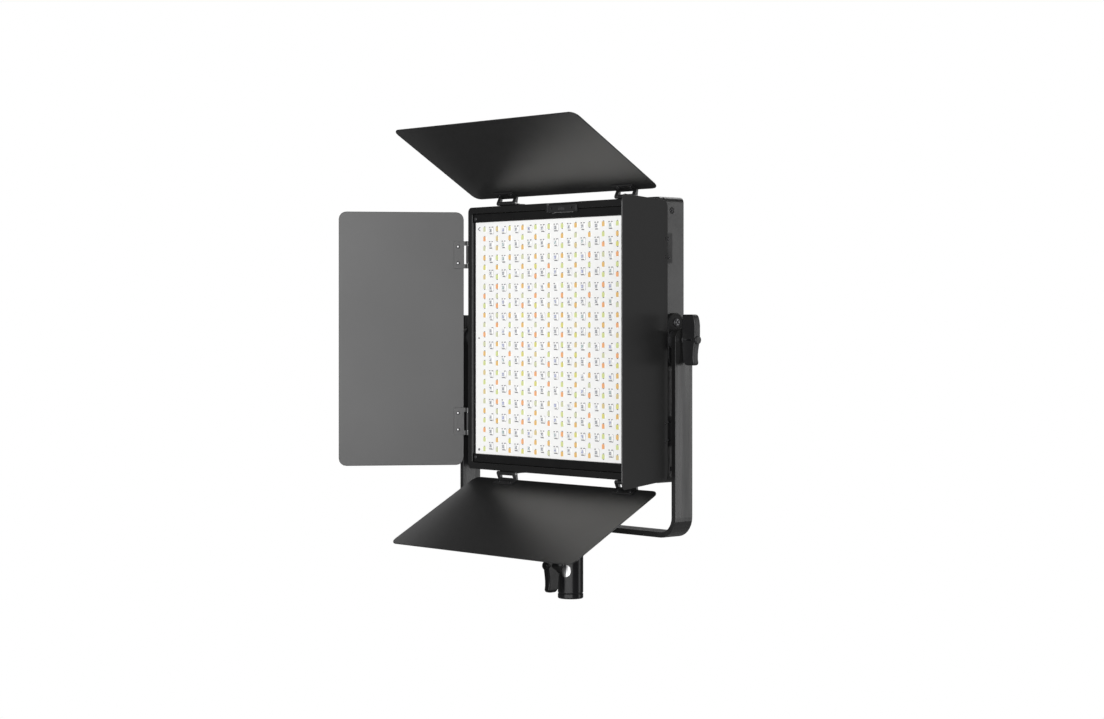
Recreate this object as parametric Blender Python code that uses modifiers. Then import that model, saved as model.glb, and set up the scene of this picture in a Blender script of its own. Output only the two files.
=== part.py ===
"""LED panel light with four barn doors, a U-shaped yoke and a stand adapter.

Each real piece is one object. The origin is the centre of the stand socket's
mouth, +Z points up, and the light shines towards -Y. Lengths are in metres.
"""

import math

import bmesh
import bpy
from mathutils import Matrix, Vector

# Spaces and mesh tolerances
GAP = 0.0003
WELD = 0.00001
ROUND_STEPS = 32
SMALL_STEPS = 20
PIN_STEPS = 12
CORNER_STEPS = 4

# Stand adapter: a turned body with a steel-lined socket for a 16 mm spigot
ADAPTER_RADIUS = 0.0129
ADAPTER_HEIGHT = 0.070
ADAPTER_CHAMFER = 0.0004
LINER_RADIUS = 0.0108
LINER_BORE = 0.0082
LINER_HEIGHT = 0.0445
WINDOW_WIDTH = 0.0126
WINDOW_HEIGHT = 0.0130
WINDOW_Z = 0.0286
WINDOW_TURN = math.radians(19)
BOLT_RADIUS = 0.0039
BOLT_HEAD_RADIUS = 0.0065
BOLT_HEAD_HEIGHT = 0.006
BOLT_REACH = 0.018
BOLT_HOLE = 0.0044
HEX_RADIUS = 0.0034
HEX_DEPTH = 0.0035
WASHER_RADIUS = 0.012
WASHER_THICKNESS = 0.0014

# Socket clamp: a wing knob on a screw that faces the front
CLAMP_Z = 0.035
CLAMP_SCREW_RADIUS = 0.0026
CLAMP_SCREW_START = 0.0088
CLAMP_HUB_START = 0.0132
CLAMP_WING_START = 0.0185
CLAMP_WING_END = 0.0345
CLAMP_WING_HALF = 0.027

# Yoke: a flat bar bent into a U
YOKE_UNDERSIDE = 0.072
YOKE_THICKNESS = 0.0053
YOKE_WIDTH = 0.0235
YOKE_HALF_SPAN = 0.1594
YOKE_CORNER = 0.020
YOKE_HOLE = 0.0044

# Head: the tilt axis passes through its centre
HEAD_Z = YOKE_UNDERSIDE + 0.190
PIVOT_Z = HEAD_Z
HEAD_WIDTH = 0.286
HEAD_HEIGHT = 0.275
HEAD_FRONT = -0.015
HEAD_BACK = 0.0167
HEAD_CORNER = 0.005
HEAD_WALL = 0.002

# Tilt joint on each side
PIVOT_PLATE_WIDTH = 0.020
PIVOT_PLATE_HEIGHT = 0.0515
PIVOT_PLATE_SETBACK = 0.0026
PIVOT_PLATE_THICKNESS = 0.003
STUD_RADIUS = 0.0039
STUD_HOLE = 0.0042
STUD_END = 0.1732
SPACER_RADIUS = 0.0095
TILT_WING_START = 0.1600
TILT_WING_END = 0.1778
TILT_WING_HALF = 0.0243

# Wing knobs
WING_THICKNESS = 0.0075
WING_CORNER = 0.0034
CLAMP_HUB_RADIUS = 0.0092
TILT_HUB_RADIUS = 0.0058
HUB_BASE_RADIUS = 0.0055
HUB_BASE_HEIGHT = 0.0036
HUB_TIP_RADIUS = 0.004
HUB_TIP_HEIGHT = 0.001

# Front bezel, diffuser rails and latch
BEZEL_BORDER = 0.007
BEZEL_DEPTH = 0.006
RAIL_LENGTH = 0.270
RAIL_HEIGHT = 0.0084
RAIL_RECESS = 0.0017
RAIL_SLOT = 0.0009
RAIL_SLOT_DEPTH = 0.005
LATCH_X = 0.004
LATCH_WIDTH = 0.045
LATCH_HEIGHT = 0.0072
LATCH_PROUD = 0.0012
LATCH_SUNK = 0.0013
LATCH_BOTTOM = 0.1276

# Light engine
BOARD_WIDTH = 0.269
BOARD_HEIGHT = 0.243
BOARD_THICKNESS = 0.0016
BOARD_RECESS = 0.0037
SINK_WIDTH = 0.260
SINK_HEIGHT = 0.236
SINK_BASE = 0.003
SINK_FIN_HEIGHT = 0.0083
SINK_FIN_THICKNESS = 0.002
SINK_FIN_COUNT = 11
DRIVER_WIDTH = 0.120
DRIVER_HEIGHT = 0.080
DRIVER_THICKNESS = 0.0016
DRIVER_BACK_GAP = 0.0044

# Rear cover and its controls; Z values are counted from the head's centre
COVER_WIDTH = 0.196
COVER_HEIGHT = 0.210
COVER_BACK = 0.038
COVER_CORNER = 0.010
LCD_WIDTH = 0.066
LCD_HEIGHT = 0.036
LCD_Z = 0.060
DIAL_X = 0.055
DIAL_Z = 0.005
DIAL_RADIUS = 0.0095
DIAL_HEIGHT = 0.0115
DIAL_SHAFT_RADIUS = 0.0031
DIAL_SHAFT_HOLE = 0.0035
BUTTON_X = 0.014
BUTTON_Z = 0.028
BUTTON_WIDTH = 0.010
BUTTON_HEIGHT = 0.006
BUTTON_PROUD = 0.0014
BUTTON_DEPTH = 0.0064
SWITCH_Z = 0.000
SWITCH_LENGTH = 0.0174
SWITCH_WIDTH = 0.013
SWITCH_TURN = math.radians(7)
SWITCH_HOLE = (0.0136, 0.0196)
SOCKET_X = 0.078
SOCKET_Z = -0.060
SOCKET_FLANGE = 0.0075
SOCKET_BARREL = 0.006
SOCKET_BORE = 0.0042
SOCKET_REACH = 0.012
BATTERY_WIDTH = 0.100
BATTERY_HEIGHT = 0.068
BATTERY_Z = -0.064
BATTERY_BASE = 0.003
BATTERY_RIB = 0.004

# Barn doors: hinge axes stand off the head's edges by PIN_HEIGHT
PIN_RADIUS = 0.0009
PIN_HOLE = 0.00125
PIN_LENGTH = 0.0284
PIN_HEIGHT = 0.0023
PIN_SETBACK = 0.002
KNUCKLE_RADIUS = 0.002
HINGE_WIDTH = 0.0288
HINGE_WINDOW = 0.0195
HINGE_TONGUE = 0.0189
HINGE_OFFSET = 0.088
BASE_START = 0.0024
BASE_END = 0.0124
BASE_THICKNESS = 0.0012
LEAF_THICKNESS = 0.0012
LEAF_CORNER = 0.008
BRACKET_REACH = 0.0105
BRACKET_THICKNESS = 0.001
BRACKET_FOOT = 0.0005
BRACKET_HEEL = 0.0024

# One row per leaf: name, outward direction, leaf width and length, distance of
# the leaf's plane from the hinge axis, place of its edge, its angle from
# outward, and how far the sheet and its hinges are shifted along +X or +Z
LEAVES = (
    ("right", Vector((1, 0, 0)), 0.2674, 0.132, 0.0046, 0.004, math.radians(63.4), -0.0006, 0),
    ("left", Vector((-1, 0, 0)), 0.2674, 0.132, 0.0046, 0.004, math.radians(56.0), -0.0006, 0),
    ("top", Vector((0, 0, 1)), 0.2714, 0.1304, 0.0075, 0, math.radians(59.5), 0, 0.0053),
    ("bottom", Vector((0, 0, -1)), 0.2714, 0.1309, 0.0075, 0, math.radians(61.9), 0, 0.0053),
)

# Local axes of flat outlines and turned pieces, as rotations into the world
UPRIGHT = Matrix.Rotation(math.pi / 2, 4, "X")
SIDEWAYS = Matrix(((0, 0, 1, 0), (1, 0, 0, 0), (0, 1, 0, 0), (0, 0, 0, 1)))
ALONG_PLUS_X = Matrix.Rotation(math.pi / 2, 4, "Y")
ALONG_MINUS_X = Matrix.Rotation(-math.pi / 2, 4, "Y")
ALONG_PLUS_Y = Matrix.Rotation(-math.pi / 2, 4, "X")
ALONG_MINUS_Y = Matrix.Rotation(math.pi / 2, 4, "X")


def clear_scene():
    for item in list(bpy.data.objects):
        bpy.data.objects.remove(item, do_unlink=True)


def new_collection(name):
    group = bpy.data.collections.new(name)
    bpy.context.scene.collection.children.link(group)
    return group


def new_material(name, colour, roughness, metallic):
    finish = bpy.data.materials.new(name)
    finish.use_nodes = True
    shader = finish.node_tree.nodes["Principled BSDF"]
    shader.inputs["Base Color"].default_value = (*colour, 1.0)
    shader.inputs["Roughness"].default_value = roughness
    shader.inputs["Metallic"].default_value = metallic
    finish.diffuse_color = (*colour, 1.0)
    return finish


def move(x=0.0, y=0.0, z=0.0):
    return Matrix.Translation((x, y, z))


def arc(centre, radius, start, end, steps):
    """Points from angle start to angle end, in degrees, both included."""
    points = []
    for index in range(steps + 1):
        angle = math.radians(start + (end - start) * index / steps)
        x = centre[0] + radius * math.cos(angle)
        y = centre[1] + radius * math.sin(angle)
        points.append((x, y))
    return points


def circle(centre, radius, steps):
    return arc(centre, radius, 0, 360, steps)[:-1]


def rounded_rectangle(width, height, radius, centre=(0.0, 0.0), steps=CORNER_STEPS):
    points = []
    for sign_x, sign_y, start in ((1, 1, 0), (-1, 1, 90), (-1, -1, 180), (1, -1, 270)):
        corner_x = centre[0] + sign_x * (width / 2 - radius)
        corner_y = centre[1] + sign_y * (height / 2 - radius)
        points += arc((corner_x, corner_y), radius, start, start + 90, steps)
    return points


def mesh_from(holder):
    """The holder's evaluated mesh, welded, with its faces pointing out."""
    graph = bpy.context.evaluated_depsgraph_get()
    mesh = bpy.data.meshes.new_from_object(holder.evaluated_get(graph))
    welded = bmesh.new()
    welded.from_mesh(mesh)
    bmesh.ops.remove_doubles(welded, verts=welded.verts, dist=WELD)
    bmesh.ops.recalc_face_normals(welded, faces=welded.faces)
    welded.to_mesh(mesh)
    welded.free()
    return mesh


def outline_mesh(loops, thickness):
    """A flat plate about z = 0: the first loop is its edge, the others are holes."""
    curve = bpy.data.curves.new("outline", "CURVE")
    curve.dimensions = "2D"
    curve.fill_mode = "BOTH"
    curve.extrude = thickness / 2
    for loop in loops:
        spline = curve.splines.new("POLY")
        spline.points.add(len(loop) - 1)
        for point, (x, y) in zip(spline.points, loop):
            point.co = (x, y, 0, 1)
        spline.use_cyclic_u = True
    holder = bpy.data.objects.new("outline", curve)
    bpy.context.scene.collection.objects.link(holder)
    mesh = mesh_from(holder)
    bpy.data.objects.remove(holder)
    bpy.data.curves.remove(curve)
    return mesh


def box_mesh(low, high):
    """A box between two opposite corners."""
    low = Vector(low)
    high = Vector(high)
    solid = bmesh.new()
    bmesh.ops.create_cube(solid, size=1)
    bmesh.ops.scale(solid, vec=high - low, verts=solid.verts)
    bmesh.ops.translate(solid, vec=(low + high) / 2, verts=solid.verts)
    mesh = bpy.data.meshes.new("box")
    solid.to_mesh(mesh)
    solid.free()
    return mesh


def cylinder_mesh(radius, start, end, steps=SMALL_STEPS):
    """A cylinder along +Z, from z = start to z = end."""
    solid = bmesh.new()
    bmesh.ops.create_cone(
        solid, cap_ends=True, segments=steps, radius1=radius, radius2=radius, depth=end - start
    )
    bmesh.ops.translate(solid, vec=(0, 0, (start + end) / 2), verts=solid.verts)
    mesh = bpy.data.meshes.new("cylinder")
    solid.to_mesh(mesh)
    solid.free()
    return mesh


def smooth_round_faces(mesh):
    mesh.shade_smooth()
    mesh.set_sharp_from_angle(angle=math.radians(35))


def place(name, mesh, finish, matrix=None, parent=None):
    """Add a part. With a parent, matrix is counted from the parent's axes."""
    mesh.name = name
    mesh.materials.clear()
    mesh.materials.append(finish)
    smooth_round_faces(mesh)
    part = bpy.data.objects.new(name, mesh)
    PARTS.objects.link(part)
    part.parent = parent
    part.matrix_basis = matrix or Matrix.Identity(4)
    return part


def place_turned(name, profile, closed, finish, matrix, parent=None, steps=ROUND_STEPS):
    """Add a part turned about its local Z axis from (radius, z) points."""
    mesh = bpy.data.meshes.new(name)
    count = len(profile)
    edges = [(index, index + 1) for index in range(count - 1)]
    if closed:
        edges.append((count - 1, 0))
    mesh.from_pydata([(radius, 0, z) for radius, z in profile], edges, [])
    part = place(name, mesh, finish, matrix, parent)
    turn = part.modifiers.new("turn", "SCREW")
    turn.axis = "Z"
    turn.angle = 2 * math.pi
    turn.steps = steps
    turn.render_steps = steps
    turn.use_merge_vertices = True
    turn.merge_threshold = WELD
    turn.use_smooth_shade = True
    return part


def hide_cutter(cutter):
    cutter.hide_render = True
    cutter.display_type = "WIRE"


def combine(part, mesh, matrix, operation="DIFFERENCE"):
    """Cut or join the part with a mesh placed in the part's parent space."""
    tool = bpy.data.objects.new(f"{part.name}_{operation.lower()}", mesh)
    CUTTERS.objects.link(tool)
    tool.parent = part.parent
    tool.matrix_basis = matrix
    hide_cutter(tool)
    change = part.modifiers.new(operation.lower(), "BOOLEAN")
    change.operation = operation
    change.solver = "EXACT"
    change.object = tool
    return tool


def applied_mesh(part):
    """The part's finished mesh. The part and its cutters are removed."""
    mesh = mesh_from(part)
    for change in list(part.modifiers):
        if change.type == "BOOLEAN":
            bpy.data.objects.remove(change.object)
    bpy.data.objects.remove(part)
    return mesh


def axis_empty(name, matrix, parent=None):
    empty = bpy.data.objects.new(name, None)
    empty.empty_display_size = 0.01
    PARTS.objects.link(empty)
    empty.parent = parent
    empty.matrix_basis = matrix
    return empty


def build_adapter():
    socket = LINER_RADIUS + GAP
    step = LINER_HEIGHT + 2 * GAP
    profile = (
        (ADAPTER_RADIUS - ADAPTER_CHAMFER, ADAPTER_HEIGHT),
        (ADAPTER_RADIUS, ADAPTER_HEIGHT - ADAPTER_CHAMFER),
        (ADAPTER_RADIUS, ADAPTER_CHAMFER),
        (ADAPTER_RADIUS - ADAPTER_CHAMFER, 0),
        (socket, 0),
        (socket, step),
        (BOLT_HOLE, step),
        (BOLT_HOLE, ADAPTER_HEIGHT),
    )
    adapter = place_turned("stand_adapter", profile, True, BLACK_ALUMINIUM, Matrix.Identity(4))
    window = outline_mesh(
        [rounded_rectangle(WINDOW_WIDTH, WINDOW_HEIGHT, WINDOW_WIDTH / 2 - GAP)], ADAPTER_RADIUS
    )
    turned = Matrix.Rotation(WINDOW_TURN, 4, "Z") @ move(0, -ADAPTER_RADIUS, WINDOW_Z)
    combine(adapter, window, turned @ UPRIGHT)
    screw_hole = cylinder_mesh(CLAMP_SCREW_RADIUS + GAP, LINER_BORE / 2, ADAPTER_RADIUS * 1.2)
    combine(adapter, screw_hole, move(z=CLAMP_Z) @ ALONG_MINUS_Y)


def build_liner():
    profile = (
        (LINER_RADIUS, LINER_HEIGHT),
        (LINER_RADIUS, GAP),
        (LINER_BORE, GAP),
        (LINER_BORE, LINER_HEIGHT),
    )
    liner = place_turned("socket_liner", profile, True, BRIGHT_STEEL, Matrix.Identity(4))
    screw_hole = cylinder_mesh(CLAMP_SCREW_RADIUS + GAP, LINER_BORE / 2, ADAPTER_RADIUS)
    combine(liner, screw_hole, move(z=CLAMP_Z) @ ALONG_MINUS_Y)


def build_yoke_bolt():
    seat = YOKE_UNDERSIDE + YOKE_THICKNESS + GAP
    profile = (
        (0, seat + BOLT_HEAD_HEIGHT),
        (BOLT_HEAD_RADIUS, seat + BOLT_HEAD_HEIGHT),
        (BOLT_HEAD_RADIUS, seat),
        (BOLT_RADIUS, seat),
        (BOLT_RADIUS, ADAPTER_HEIGHT - BOLT_REACH),
        (0, ADAPTER_HEIGHT - BOLT_REACH),
    )
    bolt = place_turned(
        "yoke_bolt", profile, False, DARK_STEEL, Matrix.Identity(4), steps=SMALL_STEPS
    )
    top = seat + BOLT_HEAD_HEIGHT
    combine(bolt, cylinder_mesh(HEX_RADIUS, top - HEX_DEPTH, top + HEX_DEPTH, 6), move())


def build_yoke_washer():
    low = ADAPTER_HEIGHT + GAP
    high = low + WASHER_THICKNESS
    profile = ((WASHER_RADIUS, high), (WASHER_RADIUS, low), (BOLT_HOLE, low), (BOLT_HOLE, high))
    place_turned("yoke_washer", profile, True, BLACK_PLASTIC, Matrix.Identity(4))


def build_yoke():
    inner = YOKE_HALF_SPAN - YOKE_THICKNESS
    floor = YOKE_UNDERSIDE + YOKE_THICKNESS
    bend_x = YOKE_HALF_SPAN - YOKE_CORNER
    bend_z = YOKE_UNDERSIDE + YOKE_CORNER
    inner_radius = YOKE_CORNER - YOKE_THICKNESS
    arm_end = PIVOT_Z + YOKE_WIDTH
    outline = [(YOKE_HALF_SPAN, arm_end), (inner, arm_end)]
    outline += arc((bend_x, bend_z), inner_radius, 0, -90, 2 * CORNER_STEPS)
    outline += arc((-bend_x, bend_z), inner_radius, -90, -180, 2 * CORNER_STEPS)
    outline += [(-inner, arm_end), (-YOKE_HALF_SPAN, arm_end)]
    outline += arc((-bend_x, bend_z), YOKE_CORNER, 180, 270, 2 * CORNER_STEPS)
    outline += arc((bend_x, bend_z), YOKE_CORNER, 270, 360, 2 * CORNER_STEPS)
    wide_bar = outline_mesh([outline], 1.4 * YOKE_WIDTH)
    yoke = place("yoke", wide_bar, YOKE_PAINT, UPRIGHT)
    arch = arc((0, PIVOT_Z), YOKE_WIDTH / 2, 0, 180, 4 * CORNER_STEPS)
    arch += [(-YOKE_WIDTH / 2, floor / 2), (YOKE_WIDTH / 2, floor / 2)]
    combine(yoke, outline_mesh([arch], 3 * YOKE_HALF_SPAN), SIDEWAYS, "INTERSECT")
    reach = 1.1 * YOKE_HALF_SPAN
    combine(yoke, cylinder_mesh(YOKE_HOLE, -reach, reach), move(z=PIVOT_Z) @ ALONG_PLUS_X)
    combine(yoke, cylinder_mesh(YOKE_HOLE, floor / 2, 2 * floor), move())


def build_wing_knob(
    name, matrix, hub_radius, hub_start, wing_start, wing_end, wing_half, bore, bore_end
):
    """A knob whose axis is local +Z, with its wings along local X."""
    height = wing_end - wing_start
    wing = outline_mesh([rounded_rectangle(2 * wing_half, height, WING_CORNER)], WING_THICKNESS)
    wing.transform(move(z=(wing_start + wing_end) / 2) @ UPRIGHT)
    knob = place(name, wing, BLACK_PLASTIC, matrix)
    widest = hub_start + HUB_BASE_HEIGHT
    profile = (
        (0, wing_end + HUB_TIP_HEIGHT),
        (HUB_TIP_RADIUS, wing_end + HUB_TIP_HEIGHT),
        (HUB_TIP_RADIUS * 1.2, wing_end - HUB_TIP_HEIGHT),
        (hub_radius, widest + HUB_TIP_HEIGHT),
        (hub_radius, widest),
        (HUB_BASE_RADIUS, hub_start),
        (0, hub_start),
    )
    hub = place_turned("hub", profile, False, BLACK_PLASTIC, Matrix.Identity(4), steps=SMALL_STEPS)
    combine(knob, applied_mesh(hub), matrix, "UNION")
    combine(knob, cylinder_mesh(bore, hub_start - height, bore_end), matrix)


def build_clamp():
    facing = move(z=CLAMP_Z) @ ALONG_MINUS_Y @ Matrix.Rotation(math.pi / 2, 4, "Z")
    bore = CLAMP_SCREW_RADIUS + GAP
    screw_end = CLAMP_WING_END - 2 * WING_CORNER / 3
    build_wing_knob(
        "clamp_knob", facing, CLAMP_HUB_RADIUS, CLAMP_HUB_START, CLAMP_WING_START,
        CLAMP_WING_END, CLAMP_WING_HALF, bore, screw_end
    )
    screw = cylinder_mesh(CLAMP_SCREW_RADIUS, CLAMP_SCREW_START, screw_end - 2 * GAP)
    place("clamp_screw", screw, DARK_STEEL, facing)


def build_tilt_joint(side, along):
    wall = HEAD_WIDTH / 2
    plate_out = wall + GAP + PIVOT_PLATE_THICKNESS
    arm_in = YOKE_HALF_SPAN - YOKE_THICKNESS
    axis = move(z=PIVOT_Z) @ along
    obround = rounded_rectangle(
        PIVOT_PLATE_WIDTH, PIVOT_PLATE_HEIGHT, PIVOT_PLATE_WIDTH / 2 - GAP, steps=2 * CORNER_STEPS
    )
    stud_hole = circle((-PIVOT_PLATE_SETBACK, 0), STUD_HOLE, SMALL_STEPS)
    plate = outline_mesh([obround, stud_hole], PIVOT_PLATE_THICKNESS)
    sign = 1 if along == ALONG_PLUS_X else -1
    plate_x = sign * (wall + GAP + PIVOT_PLATE_THICKNESS / 2)
    centre = move(plate_x, PIVOT_PLATE_SETBACK, PIVOT_Z)
    place(f"pivot_plate_{side}", plate, BLACK_PLASTIC, centre @ SIDEWAYS)
    stud = cylinder_mesh(STUD_RADIUS, wall + 2 * GAP, STUD_END)
    place(f"tilt_stud_{side}", stud, DARK_STEEL, axis)
    low = plate_out + GAP
    high = arm_in - GAP
    profile = ((SPACER_RADIUS, high), (SPACER_RADIUS, low), (STUD_HOLE, low), (STUD_HOLE, high))
    place_turned(
        f"tilt_spacer_{side}", profile, True, BLACK_PLASTIC, axis, steps=SMALL_STEPS
    )
    build_wing_knob(
        f"tilt_knob_{side}", axis, TILT_HUB_RADIUS, YOKE_HALF_SPAN + GAP, TILT_WING_START,
        TILT_WING_END, TILT_WING_HALF, STUD_HOLE, STUD_END + 2 * GAP
    )


def build_bezel():
    outer = rounded_rectangle(HEAD_WIDTH, HEAD_HEIGHT, HEAD_CORNER)
    opening_width = HEAD_WIDTH - 2 * BEZEL_BORDER
    opening_height = HEAD_HEIGHT - 2 * BEZEL_BORDER
    opening = rounded_rectangle(opening_width, opening_height, HEAD_WALL)
    bezel = place(
        "front_bezel", outline_mesh([outer, opening], BEZEL_DEPTH), HEAD_PAINT,
        move(0, HEAD_FRONT + BEZEL_DEPTH / 2, HEAD_Z) @ UPRIGHT
    )
    half = LATCH_WIDTH / 2 + GAP
    recess = box_mesh(
        (LATCH_X - half, HEAD_FRONT - BEZEL_DEPTH, HEAD_Z + opening_height / 4),
        (LATCH_X + half, HEAD_FRONT + LATCH_SUNK + GAP, HEAD_Z + HEAD_HEIGHT)
    )
    combine(bezel, recess, move())


def build_housing():
    front = HEAD_FRONT + BEZEL_DEPTH + GAP
    depth = HEAD_BACK - front
    outer = rounded_rectangle(HEAD_WIDTH, HEAD_HEIGHT, HEAD_CORNER)
    housing = place(
        "rear_housing", outline_mesh([outer], depth), HEAD_PAINT,
        move(0, front + depth / 2, HEAD_Z) @ UPRIGHT
    )
    inner = rounded_rectangle(
        HEAD_WIDTH - 2 * HEAD_WALL, HEAD_HEIGHT - 2 * HEAD_WALL, HEAD_CORNER - HEAD_WALL
    )
    cavity_shift = front + depth / 2 - HEAD_WALL
    combine(housing, outline_mesh([inner], depth), move(0, cavity_shift, HEAD_Z) @ UPRIGHT)


def build_rail(name, side):
    """A channel across the bezel's opening, with its slot towards the head's centre."""
    front = HEAD_FRONT + RAIL_RECESS
    back = HEAD_FRONT + BEZEL_DEPTH - 2 * GAP
    inner = BOARD_HEIGHT / 2 + GAP
    outer = inner + RAIL_HEIGHT
    slot_front = front + RAIL_SLOT
    slot_back = slot_front + RAIL_SLOT
    slot_top = inner + RAIL_SLOT_DEPTH
    outline = [
        (back, side * inner), (back, side * outer), (front, side * outer), (front, side * inner),
        (slot_front, side * inner), (slot_front, side * slot_top),
        (slot_back, side * slot_top), (slot_back, side * inner),
    ]
    place(name, outline_mesh([outline], RAIL_LENGTH), RAIL_PLASTIC, move(z=HEAD_Z) @ SIDEWAYS)


def build_latch():
    latch = box_mesh(
        (LATCH_X - LATCH_WIDTH / 2, HEAD_FRONT - LATCH_PROUD, HEAD_Z + LATCH_BOTTOM),
        (LATCH_X + LATCH_WIDTH / 2, HEAD_FRONT + LATCH_SUNK, HEAD_Z + LATCH_BOTTOM + LATCH_HEIGHT)
    )
    place("diffuser_latch", latch, BLACK_PLASTIC)


def build_light_engine():
    board_front = HEAD_FRONT + BOARD_RECESS
    board_back = board_front + BOARD_THICKNESS
    board = box_mesh(
        (-BOARD_WIDTH / 2, board_front, HEAD_Z - BOARD_HEIGHT / 2),
        (BOARD_WIDTH / 2, board_back, HEAD_Z + BOARD_HEIGHT / 2)
    )
    place("led_board", board, WHITE_BOARD)
    sink_front = board_back + GAP
    base_back = sink_front + SINK_BASE
    fin_back = base_back + SINK_FIN_HEIGHT
    half = SINK_WIDTH / 2
    pitch = (SINK_WIDTH - SINK_FIN_THICKNESS) / (SINK_FIN_COUNT - 1)
    outline = [(half, sink_front), (-half, sink_front)]
    for index in range(SINK_FIN_COUNT):
        left = -half + index * pitch
        right = left + SINK_FIN_THICKNESS
        if index > 0:
            outline.append((left, base_back))
        outline += [(left, fin_back), (right, fin_back)]
        if index < SINK_FIN_COUNT - 1:
            outline.append((right, base_back))
    place("heat_sink", outline_mesh([outline], SINK_HEIGHT), BARE_ALUMINIUM, move(z=HEAD_Z))


def build_driver_board():
    back = HEAD_BACK - HEAD_WALL - DRIVER_BACK_GAP
    front = back - DRIVER_THICKNESS
    half = DRIVER_WIDTH / 2
    low = HEAD_Z - DRIVER_HEIGHT / 2
    high = HEAD_Z + DRIVER_HEIGHT / 2
    board = place("driver_board", box_mesh((-half, front, low), (half, back, high)), GREEN_BOARD)
    part_back = back + DRIVER_BACK_GAP - 2 * GAP
    for centre_x, width in ((-0.036, 0.022), (0.0, 0.016), (0.034, 0.026)):
        block = box_mesh(
            (centre_x - width / 2, front + GAP, HEAD_Z - width / 2),
            (centre_x + width / 2, part_back, HEAD_Z + width / 2)
        )
        combine(board, block, move(), "UNION")


def build_rear_cover():
    front = HEAD_BACK + GAP
    depth = COVER_BACK - front
    # The outline is drawn in X and Z, so its own Y is the height above the head's centre.
    loops = [
        rounded_rectangle(COVER_WIDTH, COVER_HEIGHT, COVER_CORNER),
        rounded_rectangle(LCD_WIDTH, LCD_HEIGHT, HEAD_WALL, (0, LCD_Z)),
        circle((DIAL_X, DIAL_Z), DIAL_SHAFT_HOLE, PIN_STEPS),
        circle((-DIAL_X, DIAL_Z), DIAL_SHAFT_HOLE, PIN_STEPS),
        circle((SOCKET_X, SOCKET_Z), SOCKET_BARREL + GAP, SMALL_STEPS),
        rounded_rectangle(*SWITCH_HOLE, GAP, (0, SWITCH_Z), 1),
    ]
    for sign in (-1, 1):
        hole_width = BUTTON_WIDTH + 2 * GAP
        hole_height = BUTTON_HEIGHT + 2 * GAP
        loops.append(
            rounded_rectangle(hole_width, hole_height, 2 * GAP, (sign * BUTTON_X, BUTTON_Z), 1)
        )
    cover = place(
        "rear_cover", outline_mesh(loops, depth), HEAD_PLASTIC,
        move(0, front + depth / 2, HEAD_Z) @ UPRIGHT
    )
    inner = rounded_rectangle(
        COVER_WIDTH - 2 * HEAD_WALL, COVER_HEIGHT - 2 * HEAD_WALL, COVER_CORNER - HEAD_WALL
    )
    cavity_shift = front + depth / 2 - HEAD_WALL
    combine(cover, outline_mesh([inner], depth), move(0, cavity_shift, HEAD_Z) @ UPRIGHT)


def build_display():
    window = outline_mesh(
        [rounded_rectangle(LCD_WIDTH - 2 * GAP, LCD_HEIGHT - 2 * GAP, HEAD_WALL - GAP)], HEAD_WALL
    )
    centre_y = COVER_BACK - HEAD_WALL / 2 + GAP
    place("lcd_window", window, SCREEN_GLASS, move(0, centre_y, HEAD_Z + LCD_Z) @ UPRIGHT)


def build_dial(name, x):
    face = COVER_BACK + GAP
    shaft_end = COVER_BACK - 4 * HEAD_WALL
    profile = (
        (0, face + DIAL_HEIGHT),
        (DIAL_RADIUS - 3 * GAP, face + DIAL_HEIGHT),
        (DIAL_RADIUS, face + DIAL_HEIGHT - 3 * GAP),
        (DIAL_RADIUS, face),
        (DIAL_SHAFT_RADIUS, face),
        (DIAL_SHAFT_RADIUS, shaft_end),
        (0, shaft_end),
    )
    place_turned(name, profile, False, BLACK_PLASTIC, move(x, 0, HEAD_Z + DIAL_Z) @ ALONG_PLUS_Y)


def build_button(name, x):
    outline = rounded_rectangle(BUTTON_WIDTH, BUTTON_HEIGHT, GAP, steps=1)
    centre_y = COVER_BACK + BUTTON_PROUD - BUTTON_DEPTH / 2
    place(
        name, outline_mesh([outline], BUTTON_DEPTH), GREY_PLASTIC,
        move(x, centre_y, HEAD_Z + BUTTON_Z) @ UPRIGHT
    )


def build_switch():
    """A rocker drawn as its side view, tipped to the off position about its pivot."""
    half = SWITCH_LENGTH / 2
    depth = 2 * HEAD_WALL
    outline = [
        (-depth / 2, -half), (depth / 2, -half), (depth / 4, 0), (depth / 2, half), (-depth / 2, half)
    ]
    pivot = move(0, COVER_BACK - HEAD_WALL / 2, HEAD_Z + SWITCH_Z)
    tipped = pivot @ Matrix.Rotation(-SWITCH_TURN, 4, "X") @ SIDEWAYS
    place("power_switch", outline_mesh([outline], SWITCH_WIDTH), BLACK_PLASTIC, tipped)


def build_power_socket():
    face = COVER_BACK + GAP + HEAD_WALL / 2
    inner = face - SOCKET_REACH
    profile = (
        (0, inner + HEAD_WALL),
        (SOCKET_BORE, inner + HEAD_WALL),
        (SOCKET_BORE, face),
        (SOCKET_FLANGE, face),
        (SOCKET_FLANGE, COVER_BACK + GAP),
        (SOCKET_BARREL, COVER_BACK + GAP),
        (SOCKET_BARREL, inner),
        (0, inner),
    )
    matrix = move(SOCKET_X, 0, HEAD_Z + SOCKET_Z) @ ALONG_PLUS_Y
    place_turned("power_socket", profile, False, BLACK_PLASTIC, matrix, steps=SMALL_STEPS)


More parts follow.
